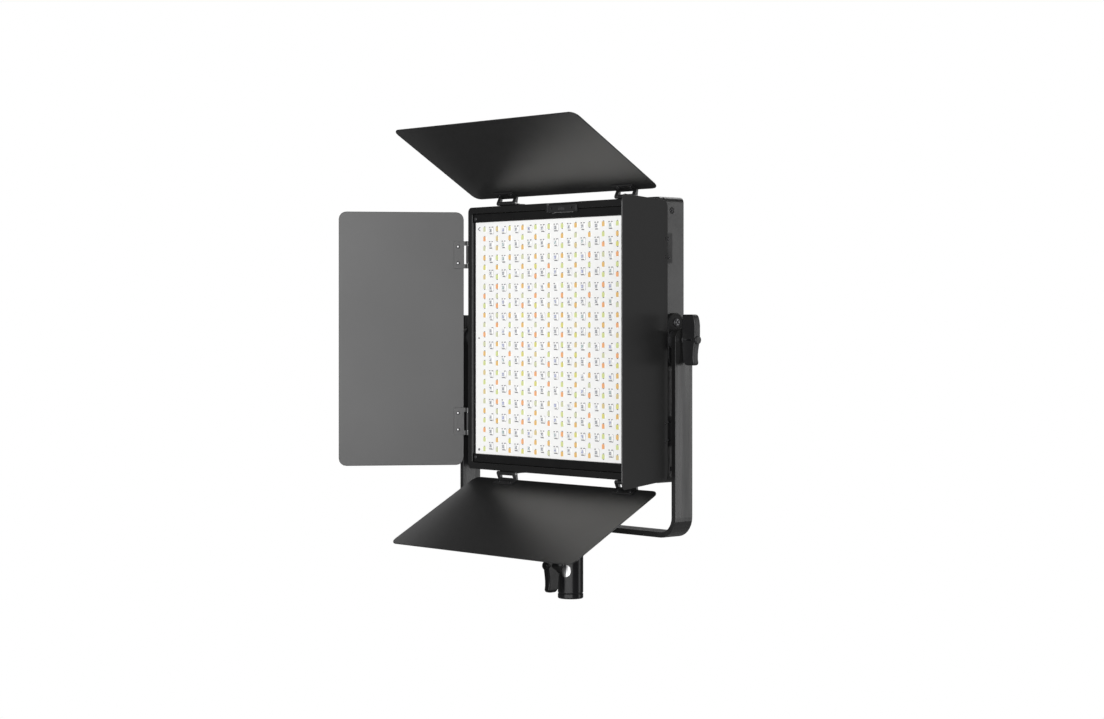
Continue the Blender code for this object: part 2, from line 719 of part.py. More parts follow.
def build_battery_plate():
    """A plate with upright guide ribs, drawn as its plan view."""
    half = BATTERY_WIDTH / 2
    low = COVER_BACK + GAP
    base = low + BATTERY_BASE
    top = base + BATTERY_RIB
    rib = BATTERY_RIB
    outline = [
        (half, low), (half, top), (half - rib, top), (half - rib, base),
        (rib, base), (rib, top), (-rib, top), (-rib, base),
        (rib - half, base), (rib - half, top), (-half, top), (-half, low),
    ]
    place(
        "battery_plate", outline_mesh([outline], BATTERY_HEIGHT), BLACK_PLASTIC,
        move(z=HEAD_Z + BATTERY_Z)
    )


def hinge_base_mesh():
    """A plate and knuckle. Local X is the hinge axis, Y runs back and Z points outward."""
    low = GAP - PIN_HEIGHT
    high = low + BASE_THICKNESS
    meet = math.degrees(math.asin(high / KNUCKLE_RADIUS))
    outline = [(BASE_END, low), (BASE_END, high)]
    outline += arc((0, 0), KNUCKLE_RADIUS, meet, 270, PIN_STEPS)
    base = place("base", outline_mesh([outline], HINGE_WIDTH), BLACK_METAL, SIDEWAYS)
    for sign in (-1, 1):
        sides = sorted((sign * HINGE_TONGUE / 2, sign * HINGE_WIDTH))
        side_cut = box_mesh(
            (sides[0], -2 * KNUCKLE_RADIUS, -2 * KNUCKLE_RADIUS),
            (sides[1], BASE_START, 2 * KNUCKLE_RADIUS)
        )
        combine(base, side_cut, move())
    pin_hole = cylinder_mesh(PIN_HOLE, -HINGE_WIDTH, HINGE_WIDTH, PIN_STEPS)
    combine(base, pin_hole, ALONG_PLUS_X)
    base.matrix_basis = Matrix.Identity(4)
    base.data.transform(SIDEWAYS)
    return applied_mesh(base)


def leaf_bracket_mesh(plane, edge):
    """A plate on the leaf's inner face with two arms that end in knuckles on the axis."""
    low = LEAF_THICKNESS / 2 + GAP - plane
    high = low + BRACKET_THICKNESS
    tip = edge + BRACKET_REACH
    outline = [(tip, low), (tip, high), (BRACKET_HEEL, high)]
    outline += arc((0, 0), KNUCKLE_RADIUS, 0, 180, PIN_STEPS // 2)
    outline.append((BRACKET_FOOT, low))
    bracket = place("bracket", outline_mesh([outline], HINGE_WIDTH), BLACK_METAL, SIDEWAYS)
    bracket.matrix_basis = Matrix.Identity(4)
    bracket.data.transform(SIDEWAYS)
    slot_end = max(edge, 2 * KNUCKLE_RADIUS) - GAP
    slot_low = -2 * plane if edge > 0 else high + GAP
    slot = box_mesh(
        (-HINGE_WINDOW / 2, -2 * KNUCKLE_RADIUS, slot_low),
        (HINGE_WINDOW / 2, slot_end, 2 * KNUCKLE_RADIUS)
    )
    combine(bracket, slot, move())
    pin_hole = cylinder_mesh(PIN_HOLE, -HINGE_WIDTH, HINGE_WIDTH, PIN_STEPS)
    combine(bracket, pin_hole, ALONG_PLUS_X)
    return applied_mesh(bracket)


def axes_matrix(origin, y_axis, z_axis):
    """A placement from two axes; local X is their cross product."""
    x_axis = y_axis.cross(z_axis)
    matrix = Matrix((x_axis, y_axis, z_axis)).transposed().to_4x4()
    matrix.translation = origin
    return matrix


def build_leaf(row, base_mesh, bracket_mesh):
    """One barn door with two hinges. Angle 0 points outward and 90 degrees forward."""
    side, outward, width, length, plane, edge, angle, sheet_shift, hinge_shift = row
    forward = Vector((0, -1, 0))
    centre = Vector((0, HEAD_FRONT, HEAD_Z))
    half = HEAD_WIDTH / 2 if outward.x else HEAD_HEIGHT / 2
    pivot = centre + outward * (half + PIN_HEIGHT) - forward * PIN_SETBACK
    along = outward * math.cos(angle) + forward * math.sin(angle)
    outside = outward * math.sin(angle) - forward * math.cos(angle)
    hinge = axis_empty(f"leaf_{side}_axis", axes_matrix(pivot, along, -outside))
    fixed = axes_matrix(pivot, -forward, outward)
    # Local X runs along +X on the top leaf, and flips with the outward direction
    flip = outward.z - outward.x
    sheet = outline_mesh([rounded_rectangle(width, length, LEAF_CORNER)], LEAF_THICKNESS)
    shift = move(flip * sheet_shift, edge + length / 2, -plane)
    place(f"leaf_{side}", sheet, LEAF_PAINT, shift, hinge)
    for index, sign in enumerate((-1, 1)):
        offset = move(sign * HINGE_OFFSET + flip * hinge_shift, 0, 0)
        label = f"{side}_{index + 1}"
        place(f"leaf_bracket_{label}", bracket_mesh.copy(), BLACK_METAL, offset, hinge)
        place(f"hinge_base_{label}", base_mesh.copy(), BLACK_METAL, fixed @ offset)
        pin = cylinder_mesh(PIN_RADIUS, -PIN_LENGTH / 2, PIN_LENGTH / 2, PIN_STEPS)
        place(f"hinge_pin_{label}", pin, BRIGHT_STEEL, fixed @ offset @ ALONG_PLUS_X)


clear_scene()
PARTS = new_collection("led_panel_light")
CUTTERS = new_collection("cutters")

HEAD_PAINT = new_material("head_paint", (0.045, 0.045, 0.047), 0.45, 0.0)
HEAD_PLASTIC = new_material("head_plastic", (0.035, 0.035, 0.037), 0.55, 0.0)
YOKE_PAINT = new_material("yoke_paint", (0.060, 0.060, 0.062), 0.40, 0.2)
LEAF_PAINT = new_material("leaf_paint", (0.040, 0.040, 0.041), 0.50, 0.0)
BLACK_METAL = new_material("black_metal", (0.030, 0.030, 0.032), 0.45, 0.3)
BLACK_ALUMINIUM = new_material("black_aluminium", (0.020, 0.020, 0.021), 0.20, 0.5)
BARE_ALUMINIUM = new_material("bare_aluminium", (0.75, 0.76, 0.78), 0.40, 1.0)
BLACK_PLASTIC = new_material("black_plastic", (0.018, 0.018, 0.019), 0.42, 0.0)
RAIL_PLASTIC = new_material("rail_plastic", (0.012, 0.012, 0.013), 0.50, 0.0)
GREY_PLASTIC = new_material("grey_plastic", (0.20, 0.20, 0.21), 0.50, 0.0)
BRIGHT_STEEL = new_material("bright_steel", (0.80, 0.80, 0.82), 0.15, 1.0)
DARK_STEEL = new_material("dark_steel", (0.12, 0.12, 0.13), 0.35, 1.0)
WHITE_BOARD = new_material("white_board", (0.90, 0.91, 0.92), 0.45, 0.0)
GREEN_BOARD = new_material("green_board", (0.02, 0.18, 0.08), 0.45, 0.0)
SCREEN_GLASS = new_material("screen_glass", (0.02, 0.03, 0.04), 0.08, 0.0)

build_adapter()
build_liner()
build_yoke_bolt()
build_yoke_washer()
build_clamp()
build_yoke()
build_tilt_joint("right", ALONG_PLUS_X)
build_tilt_joint("left", ALONG_MINUS_X)
build_bezel()
build_housing()
build_rail("diffuser_rail_top", 1)
build_rail("diffuser_rail_bottom", -1)
build_latch()
build_light_engine()
build_driver_board()
build_rear_cover()
build_display()
build_dial("brightness_dial", -DIAL_X)
build_dial("colour_dial", DIAL_X)
build_button("mode_button", -BUTTON_X)
build_button("channel_button", BUTTON_X)
build_switch()
build_power_socket()
build_battery_plate()

shared_base = hinge_base_mesh()
for row in LEAVES:
    shared_bracket = leaf_bracket_mesh(row[4], row[5])
    build_leaf(row, shared_base, shared_bracket)
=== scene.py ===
"""Looks of the LED panel light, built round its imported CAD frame."""

import math
import random

import bmesh
import bpy
from mathutils import Matrix, Vector


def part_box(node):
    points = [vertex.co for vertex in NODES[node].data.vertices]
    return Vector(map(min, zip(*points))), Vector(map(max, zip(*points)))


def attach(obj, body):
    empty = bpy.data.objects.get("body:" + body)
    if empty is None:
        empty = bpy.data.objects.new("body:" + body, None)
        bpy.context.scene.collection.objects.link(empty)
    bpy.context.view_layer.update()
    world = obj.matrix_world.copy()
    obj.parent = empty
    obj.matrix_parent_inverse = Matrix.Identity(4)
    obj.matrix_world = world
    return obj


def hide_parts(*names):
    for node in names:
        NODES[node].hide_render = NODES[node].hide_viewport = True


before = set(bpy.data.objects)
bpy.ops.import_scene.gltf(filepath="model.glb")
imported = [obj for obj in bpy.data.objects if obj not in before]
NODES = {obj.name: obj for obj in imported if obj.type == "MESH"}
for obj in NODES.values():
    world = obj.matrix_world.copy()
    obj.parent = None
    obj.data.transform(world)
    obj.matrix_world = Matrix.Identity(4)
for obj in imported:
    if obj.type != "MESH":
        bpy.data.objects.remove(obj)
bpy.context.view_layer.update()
DICE = random.Random(11)
MM = 0.001

HEAD_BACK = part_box("rear_housing")[1].y
BEZEL_LOW, BEZEL_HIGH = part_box("front_bezel")
HEAD_Z = (BEZEL_LOW.z + BEZEL_HIGH.z) / 2
HEAD_FRONT = BEZEL_LOW.y
HALF_WIDTH = BEZEL_HIGH.x
HALF_HEIGHT = (BEZEL_HIGH.z - BEZEL_LOW.z) / 2
PLATE_LOW, PLATE_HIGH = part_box("pivot_plate_right")
PIVOT_Z = (PLATE_LOW.z + PLATE_HIGH.z) / 2
PLATE_Y = (PLATE_LOW.y + PLATE_HIGH.y) / 2
COVER_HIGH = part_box("rear_cover")[1]
BACK = COVER_HIGH.y
BOARD_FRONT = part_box("led_board")[0].y

TOWARDS_FRONT = Matrix.Rotation(math.pi / 2, 4, "X")
TOWARDS_BACK = Matrix.Rotation(-math.pi / 2, 4, "X")
TOWARDS_RIGHT = Matrix.Rotation(math.pi / 2, 4, "Y")
TOWARDS_LEFT = Matrix.Rotation(-math.pi / 2, 4, "Y")
HALF_TURN = Matrix.Rotation(math.pi, 4, "Z")
QUARTER_TURN = Matrix.Rotation(math.pi / 2, 4, "Z")


# ---------------------------------------------------------------- materials


def finish(name, colour, rough, metal=0.0, mottle=0.06, cloud=40.0, shift=0.05, grain=0.0,
           grit=1500.0, stretch=(1, 1, 1), wear_and_highlight=0.0, specular=0.5):
    """A procedural surface: cloudy colour and roughness, with grain where asked for, and convex edges
    lightened where asked for: partly wear, partly a painted highlight.
    """
    made = bpy.data.materials.new(name)
    made.use_nodes = True
    nodes = made.node_tree.nodes
    links = made.node_tree.links
    shader = nodes["Principled BSDF"]
    shader.inputs["Metallic"].default_value = metal
    shader.inputs["Specular IOR Level"].default_value = specular
    where = nodes.new("ShaderNodeTexCoord")
    mapping = nodes.new("ShaderNodeMapping")
    mapping.inputs["Scale"].default_value = stretch
    links.new(where.outputs["Object"], mapping.inputs["Vector"])
    clouds = nodes.new("ShaderNodeTexNoise")
    clouds.inputs["Scale"].default_value = cloud
    clouds.inputs["Detail"].default_value = 5.0
    links.new(mapping.outputs["Vector"], clouds.inputs["Vector"])
    blend = nodes.new("ShaderNodeMix")
    blend.data_type = "RGBA"
    blend.inputs["A"].default_value = (*[c * (1 - mottle) for c in colour], 1)
    blend.inputs["B"].default_value = (*[min(1.0, c * (1 + mottle)) for c in colour], 1)
    links.new(clouds.outputs["Fac"], blend.inputs["Factor"])
    colour_out = blend.outputs["Result"]
    # Convex edges, found by pointiness, blend towards light grey: partly wear, partly a painted highlight
    # where edges catch the light.
    if wear_and_highlight:
        shape = nodes.new("ShaderNodeNewGeometry")
        edge = nodes.new("ShaderNodeMapRange")
        edge.inputs["From Min"].default_value = 0.515
        edge.inputs["From Max"].default_value = 0.58
        edge.inputs["To Max"].default_value = wear_and_highlight
        links.new(shape.outputs["Pointiness"], edge.inputs["Value"])
        worn_and_highlight = nodes.new("ShaderNodeMix")
        worn_and_highlight.data_type = "RGBA"
        worn_and_highlight.inputs["B"].default_value = (0.30, 0.30, 0.31, 1)
        links.new(edge.outputs["Result"], worn_and_highlight.inputs["Factor"])
        links.new(colour_out, worn_and_highlight.inputs["A"])
        colour_out = worn_and_highlight.outputs["Result"]
    links.new(colour_out, shader.inputs["Base Color"])
    span = nodes.new("ShaderNodeMapRange")
    span.inputs["From Min"].default_value = 0.3
    span.inputs["From Max"].default_value = 0.7
    span.inputs["To Min"].default_value = max(0.02, rough - shift)
    span.inputs["To Max"].default_value = min(1.0, rough + shift)
    links.new(clouds.outputs["Fac"], span.inputs["Value"])
    links.new(span.outputs["Result"], shader.inputs["Roughness"])
    if grain:
        grains = nodes.new("ShaderNodeTexNoise")
        grains.inputs["Scale"].default_value = grit
        grains.inputs["Detail"].default_value = 2.0
        links.new(mapping.outputs["Vector"], grains.inputs["Vector"])
        bump = nodes.new("ShaderNodeBump")
        bump.inputs["Strength"].default_value = grain
        bump.inputs["Distance"].default_value = 0.0002
        links.new(grains.outputs["Fac"], bump.inputs["Height"])
        links.new(bump.outputs["Normal"], shader.inputs["Normal"])
    return made


LEAF_PAINT = finish("leaf_paint", (0.014, 0.014, 0.0142), 0.31, cloud=9, shift=0.02, grain=0.2,
                    specular=0.66)
HEAD_PAINT = finish("head_paint", (0.012, 0.012, 0.0122), 0.32, specular=0.6, cloud=14, grain=0.4)
BEZEL_PAINT = finish("bezel_paint", (0.008, 0.008, 0.0082), 0.28, cloud=14, grain=0.4)
COVER_PLASTIC = finish("cover_plastic", (0.022, 0.022, 0.023), 0.52, cloud=30, grain=0.8, grit=900)
YOKE_PAINT = finish("yoke_paint", (0.014, 0.014, 0.0142), 0.30, specular=0.58, cloud=160,
                    mottle=0.16, shift=0.09, stretch=(1, 1, 0.045), grain=0.25)
# black_metal and bracket_paint get lighter convex edges: partly wear, partly a painted highlight.
BLACK_METAL = finish("black_metal", (0.005, 0.005, 0.0052), 0.38, cloud=60, grain=0.3, wear_and_highlight=0.05,
                     specular=0.3)
BRACKET_PAINT = finish("bracket_paint", (0.005, 0.005, 0.0052), 0.31, cloud=60, shift=0.02,
                       grain=0.2, wear_and_highlight=0.06, specular=0.68)
BLACK_ALUMINIUM = finish("black_aluminium", (0.010, 0.010, 0.011), 0.20, cloud=500, mottle=0.1,
                         shift=0.03, stretch=(1, 1, 12), grain=0.08, specular=0.24)
BARE_ALUMINIUM = finish("bare_aluminium", (0.62, 0.63, 0.65), 0.34, metal=1.0, cloud=400,
                        stretch=(1, 1, 0.02))
KNOB_PLASTIC = finish("knob_plastic", (0.019, 0.019, 0.020), 0.40, cloud=70, grain=0.6, grit=1300)
CLAMP_PLASTIC = finish("clamp_plastic", (0.005, 0.005, 0.0052), 0.24, cloud=50, grain=0.15,
                       specular=0.22)
BLACK_PLASTIC = finish("black_plastic", (0.016, 0.016, 0.017), 0.38, cloud=60, grain=0.4)
PLATE_PLASTIC = finish("plate_plastic", (0.009, 0.009, 0.0095), 0.50, cloud=60, grain=0.4, specular=0.16)
RAIL_PLASTIC = finish("rail_plastic", (0.005, 0.005, 0.0052), 0.38, cloud=60, grain=0.4, specular=0.36)
GREY_PLASTIC = finish("grey_plastic", (0.17, 0.17, 0.18), 0.48, cloud=60, grain=0.4)
BRIGHT_STEEL = finish("bright_steel", (0.76, 0.76, 0.77), 0.44, metal=1.0, cloud=420, mottle=0.35,
                      shift=0.12, stretch=(1, 1, 0.02))
DARK_STEEL = finish("dark_steel", (0.16, 0.16, 0.17), 0.30, metal=1.0, cloud=300)
BLACK_SCREW = finish("black_screw", (0.035, 0.035, 0.037), 0.26, metal=0.6, cloud=300)
GREY_SCREW = finish("grey_screw", (0.11, 0.11, 0.115), 0.30, metal=0.8, cloud=300)
WHITE_BOARD = finish("white_board", (0.95, 0.95, 0.94), 0.40, cloud=120, mottle=0.02, grain=0.05, grit=700)
GREEN_BOARD = finish("green_board", (0.02, 0.16, 0.07), 0.40, cloud=200, mottle=0.2)
SCREEN_GLASS = finish("screen_glass", (0.010, 0.013, 0.015), 0.06, cloud=12, mottle=0.05, shift=0.01)
SCREEN_MARK = finish("screen_mark", (0.62, 0.80, 0.78), 0.35, cloud=80)
PRINT_WHITE = finish("print_white", (0.70, 0.70, 0.70), 0.60, cloud=300)
PRINT_GREY = finish("print_grey", (0.22, 0.22, 0.25), 0.60, cloud=300)
RUBBER = finish("rubber", (0.018, 0.018, 0.018), 0.70, cloud=80, grain=0.6)
GOLD = finish("gold", (0.85, 0.60, 0.24), 0.22, metal=1.0, cloud=300)
SOLDER = finish("solder", (0.10, 0.10, 0.11), 0.40, cloud=900)
PACKAGE_WHITE = finish("package_white", (0.87, 0.87, 0.86), 0.32, cloud=600, mottle=0.02)
EPOXY = finish("epoxy", (0.78, 0.80, 0.84), 0.12, cloud=600, mottle=0.05)
DIE_DARK = finish("die_dark", (0.05, 0.05, 0.06), 0.30, cloud=900)
DIE_BLUE = finish("die_blue", (0.13, 0.16, 0.48), 0.30, cloud=900)
DIE_GREEN = finish("die_green", (0.08, 0.26, 0.20), 0.30, cloud=900)
PHOSPHORS = [
    finish("phosphor_lime", (0.68, 0.74, 0.32), 0.45, cloud=700, mottle=0.08),
    finish("phosphor_olive", (0.66, 0.68, 0.44), 0.45, cloud=700, mottle=0.08),
    finish("phosphor_lemon", (0.74, 0.70, 0.22), 0.45, cloud=700, mottle=0.08),
    finish("phosphor_amber", (0.82, 0.52, 0.18), 0.45, cloud=700, mottle=0.08),
    finish("phosphor_orange", (0.90, 0.44, 0.20), 0.45, cloud=700, mottle=0.08),
    finish("phosphor_sand", (0.74, 0.60, 0.30), 0.45, cloud=700, mottle=0.08),
]


# ------------------------------------------------------------------ shapes


def move(x=0.0, y=0.0, z=0.0):
    return Matrix.Translation((x, y, z))


def shade(mesh, angle=40):
    mesh.shade_smooth()
    mesh.set_sharp_from_angle(angle=math.radians(angle))


def even_normals(piece):
    change = piece.modifiers.new("normals", "WEIGHTED_NORMAL")
    change.keep_sharp = True
    change.weight = 80


def put(name, mesh, body, finishes, matrix=None):
    """Add a piece that rides on a body, with the given finishes as its materials."""
    mesh.name = name
    for one in finishes if isinstance(finishes, (list, tuple)) else [finishes]:
        mesh.materials.append(one)
    piece = bpy.data.objects.new(name, mesh)
    bpy.context.scene.collection.objects.link(piece)
    piece.matrix_world = matrix or Matrix.Identity(4)
    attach(piece, body)
    return piece


def evaluated(piece):
    graph = bpy.context.evaluated_depsgraph_get()
    return bpy.data.meshes.new_from_object(piece.evaluated_get(graph))


def cut_away(piece, shape, own_overlaps=False):
    """Cut a shape out of a piece for good."""
    tool = bpy.data.objects.new("tool", shape)
    bpy.context.scene.collection.objects.link(tool)
    cut = piece.modifiers.new("cut", "BOOLEAN")
    cut.operation = "DIFFERENCE"
    cut.solver = "EXACT"
    cut.use_self = own_overlaps
    cut.object = tool
    mesh = evaluated(piece)
    piece.modifiers.clear()
    piece.data = mesh
    bpy.data.objects.remove(tool)


def mesh_of(bm, angle=40):
    bmesh.ops.recalc_face_normals(bm, faces=bm.faces)
    mesh = bpy.data.meshes.new("shape")
    bm.to_mesh(mesh)
    bm.free()
    shade(mesh, angle)
    return mesh


def joined(meshes):
    """One mesh out of several (mesh, matrix, material index) rows."""
    bm = bmesh.new()
    for mesh, matrix, index in meshes:
        start = len(bm.faces)
        part = mesh.copy()
        part.transform(matrix)
        bm.from_mesh(part)
        bm.faces.ensure_lookup_table()
        for face in bm.faces[start:]:
            face.material_index = index
        bpy.data.meshes.remove(part)
    whole = bpy.data.meshes.new("joined")
    bm.to_mesh(whole)
    bm.free()
    return whole


def arc(centre, radius, start, end, steps):
    turn = [math.radians(start + (end - start) * k / steps) for k in range(steps + 1)]
    return [(centre[0] + radius * math.cos(t), centre[1] + radius * math.sin(t)) for t in turn]


def circle(x, y, radius, steps=32):
    return arc((x, y), radius, 0, 360, steps)[:-1]


def rounded(width, height, radius, x=0.0, y=0.0, steps=5):
    points = []
    for sx, sy, start in ((1, 1, 0), (-1, 1, 90), (-1, -1, 180), (1, -1, 270)):
        corner = (x + sx * (width / 2 - radius), y + sy * (height / 2 - radius))
        points += arc(corner, radius, start, start + 90, steps)
    return points


def loft(loops, angle):
    """A skin through equal loops of points, closed at both ends."""
    bm = bmesh.new()
    rings = [[bm.verts.new(point) for point in loop] for loop in loops]
    for low, high in zip(rings, rings[1:]):
        for k in range(len(low)):
            after = (k + 1) % len(low)
            bm.faces.new((low[k], low[after], high[after], high[k]))
    bm.faces.new(rings[0][::-1])
    bm.faces.new(rings[-1])
    return mesh_of(bm, angle)


def lathe(profile, steps=64, closed=False, angle=35):
    """A piece turned about Z from (radius, z) points."""
    bm = bmesh.new()
    rings = []
    for radius, z in profile:
        if radius < 1e-7:
            rings.append([bm.verts.new((0, 0, z))])
            continue
        rings.append([
            bm.verts.new((radius * math.cos(2 * math.pi * k / steps),
                          radius * math.sin(2 * math.pi * k / steps), z))
            for k in range(steps)
        ])
    pairs = list(zip(rings, rings[1:]))
    if closed:
        pairs.append((rings[-1], rings[0]))
    for low, high in pairs:
        for k in range(steps):
            after = (k + 1) % steps
            if len(low) == 1:
                bm.faces.new((low[0], high[after], high[k]))
            elif len(high) == 1:
                bm.faces.new((low[k], low[after], high[0]))
            else:
                bm.faces.new((low[k], low[after], high[after], high[k]))
    return mesh_of(bm, angle)


def eased(profile, radius, steps=3, closed=False):
    """The profile with its corners rounded."""
    points = [Vector(p) for p in profile]
    count = len(points)
    result = []
    for k, here in enumerate(points):
        if not closed and k in (0, count - 1):
            result.append(tuple(here))
            continue
        before = points[k - 1] - here
        after = points[(k + 1) % count] - here
        cut = min(radius, before.length * 0.45, after.length * 0.45)
        first = here + before.normalized() * cut
        last = here + after.normalized() * cut
        for j in range(steps + 1):
            t = j / steps
            result.append(tuple((1 - t) ** 2 * first + 2 * t * (1 - t) * here + t * t * last))
    return result


def slab(loops, low, high, edge=0.0):
    """A flat plate from z = low to high with rounded edges. Loops after the first are holes."""
    curve = bpy.data.curves.new("slab", "CURVE")
    curve.dimensions = "2D"
    curve.fill_mode = "BOTH"
    curve.extrude = (high - low) / 2 - edge
    curve.bevel_depth = edge
    curve.bevel_resolution = 2
    curve.offset = -edge
    for loop in loops:
        spline = curve.splines.new("POLY")
        spline.points.add(len(loop) - 1)
        for point, (x, y) in zip(spline.points, loop):
            point.co = (x, y, 0, 1)
        spline.use_cyclic_u = True
    holder = bpy.data.objects.new("slab", curve)
    bpy.context.scene.collection.objects.link(holder)
    mesh = evaluated(holder)
    bpy.data.objects.remove(holder)
    bpy.data.curves.remove(curve)
    bm = bmesh.new()
    bm.from_mesh(mesh)
    bpy.data.meshes.remove(mesh)
    bmesh.ops.remove_doubles(bm, verts=bm.verts, dist=1e-6)
    bmesh.ops.translate(bm, vec=(0, 0, (low + high) / 2), verts=bm.verts)
    return mesh_of(bm)


def block(size, centre=(0, 0, 0), edge=0.0):
    """A box with rounded edges."""
    bm = bmesh.new()
    bmesh.ops.create_cube(bm, size=1)
    bmesh.ops.scale(bm, vec=size, verts=bm.verts)
    if edge:
        bmesh.ops.bevel(bm, geom=bm.edges[:], offset=edge, segments=2, affect="EDGES", profile=0.5)
    bmesh.ops.translate(bm, vec=centre, verts=bm.verts)
    return mesh_of(bm)


def rod(radius, low, high, steps=24):
    return lathe(eased([(0, low), (radius, low), (radius, high), (0, high)], radius / 8, 2), steps)


def wire(points, radius):
    """A round wire along a smooth curve through the points."""
    curve = bpy.data.curves.new("wire", "CURVE")
    curve.dimensions = "3D"
    curve.bevel_depth = radius
    curve.bevel_resolution = 2
    curve.resolution_u = 6
    curve.use_fill_caps = True
    spline = curve.splines.new("NURBS")
    spline.points.add(len(points) - 1)
    for point, place in zip(spline.points, points):
        point.co = (*place, 1)
    spline.use_endpoint_u = True
    spline.order_u = 3
    holder = bpy.data.objects.new("wire", curve)
    bpy.context.scene.collection.objects.link(holder)
    mesh = evaluated(holder)
    bpy.data.objects.remove(holder)
    bpy.data.curves.remove(curve)
    shade(mesh)
    return mesh


def round_edges(piece, width, steps):
    weld = piece.modifiers.new("weld", "WELD")
    weld.merge_threshold = 1e-5
    flat = piece.modifiers.new("flat", "DECIMATE")
    flat.decimate_type = "DISSOLVE"
    flat.angle_limit = math.radians(0.5)
    edges = piece.modifiers.new("edges", "BEVEL")
    edges.width = width
    edges.segments = steps
    edges.limit_method = "ANGLE"
    edges.angle_limit = math.radians(35)
    even_normals(piece)


def polish(node, material, width, steps=2):
    """Keep a CAD node's shape: round its edges and give it a better surface."""
    part = NODES[node]
    for place in part.material_slots:
        place.material = material
    round_edges(part, width, steps)


def recut(node, body, material, cutters, width, steps, name):
    """A piece in a CAD node's place: the node's own solid with (mesh, matrix, 0) rows cut out of it."""
    bm = bmesh.new()
    bm.from_mesh(NODES[node].data)
    bmesh.ops.remove_doubles(bm, verts=bm.verts, dist=1e-5)
    bmesh.ops.dissolve_limit(bm, angle_limit=math.radians(0.5), verts=bm.verts, edges=bm.edges)
    piece = put(name, mesh_of(bm), body, material)
    cut_away(piece, joined(cutters))
    shade(piece.data)
    round_edges(piece, width, steps)
    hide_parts(node)


def axes_matrix(origin, y_axis, z_axis):
    x_axis = y_axis.cross(z_axis)
    matrix = Matrix((x_axis, y_axis, z_axis)).transposed().to_4x4()
    matrix.translation = origin
    return matrix


# ------------------------------------------------------------------ screws


def screw_mesh(radius, height):
    """A pan head with a cross recess, standing on z = 0."""
    head = lathe([(0, -0.3 * MM), (radius * 0.9, -0.3 * MM), (radius, 0), (radius, height * 0.55),
                  (radius * 0.86, height * 0.86), (radius * 0.55, height * 0.98), (0, height)], 28)
    holder = bpy.data.objects.new("head", head)
    bpy.context.scene.collection.objects.link(holder)
    arms = joined([
        (block((radius * 1.25, radius * 0.27, height * 1.6), (0, 0, height)), Matrix.Identity(4), 0),
        (block((radius * 0.27, radius * 1.25, height * 1.6), (0, 0, height)), Matrix.Identity(4), 0),
    ])
    cut_away(holder, arms, own_overlaps=True)
    mesh = holder.data
    bpy.data.objects.remove(holder)
    shade(mesh, 32)
    return mesh


SMALL_SCREW = screw_mesh(1.7 * MM, 0.7 * MM)
PANEL_SCREW = screw_mesh(2.3 * MM, 0.9 * MM)
PLATE_SCREW = screw_mesh(4.1 * MM, 1.5 * MM)


def screws(name, body, material, kind, places):
    """Several screws of one kind as one piece. Each place is a matrix whose +Z points out."""
    rows = []
    for k, place in enumerate(places):
        rows.append((kind, place @ Matrix.Rotation(math.radians(37 * k + 12), 4, "Z"), 0))
    piece = put(name, joined(rows), body, material)
    shade(piece.data, 32)


# ------------------------------------------------------- leaves and hinges

PIN_HEIGHT = 0.0023
PIN_SETBACK = 0.002
HINGE_OFFSET = 0.088
HINGE_SHIFT = 0.0053
RIVET_SPREAD = 0.00875
RIVET_REACH = 0.0063
# Rows: side, outward, sheet's middle and near edge from the pin, how far it leans forward at rest
LEAVES = (
    ("right", Vector((1, 0, 0)), 0.0046, 0.0040, math.radians(63.4)),
    ("left", Vector((-1, 0, 0)), 0.0046, 0.0040, math.radians(56.0)),
    ("top", Vector((0, 0, 1)), 0.0075, 0.0000, math.radians(59.5)),
    ("bottom", Vector((0, 0, -1)), 0.0075, 0.0000, math.radians(61.9)),
)


def leaf_axes(outward, angle):
    """Placements of the leaf and of its fixed hinge halves; local X is the hinge axis."""
    forward = Vector((0, -1, 0))
    half = HALF_WIDTH if outward.x else HALF_HEIGHT
    pivot = Vector((0, HEAD_FRONT, HEAD_Z)) + outward * (half + PIN_HEIGHT) - forward * PIN_SETBACK
    along = outward * math.cos(angle) + forward * math.sin(angle)
    outside = outward * math.sin(angle) - forward * math.cos(angle)
    return axes_matrix(pivot, along, -outside), axes_matrix(pivot, -forward, outward)


def eyelet(sheet, plate):
    """A rivet eyelet along Z, from the sheet's outer face to the bracket plate's inner face."""
    return lathe([
        (1.95 * MM, sheet), (1.10 * MM, sheet), (1.06 * MM, sheet + 0.1 * MM),
        (1.06 * MM, plate - 0.1 * MM), (1.10 * MM, plate), (1.95 * MM, plate),
        (1.90 * MM, plate + 0.18 * MM), (1.62 * MM, plate + 0.32 * MM), (1.18 * MM, plate + 0.26 * MM),
        (0.95 * MM, plate), (0.92 * MM, plate - 0.4 * MM), (0.92 * MM, sheet + 0.4 * MM),
        (0.95 * MM, sheet), (1.18 * MM, sheet - 0.20 * MM), (1.62 * MM, sheet - 0.24 * MM),
        (1.90 * MM, sheet - 0.12 * MM),
    ], 24, closed=True)


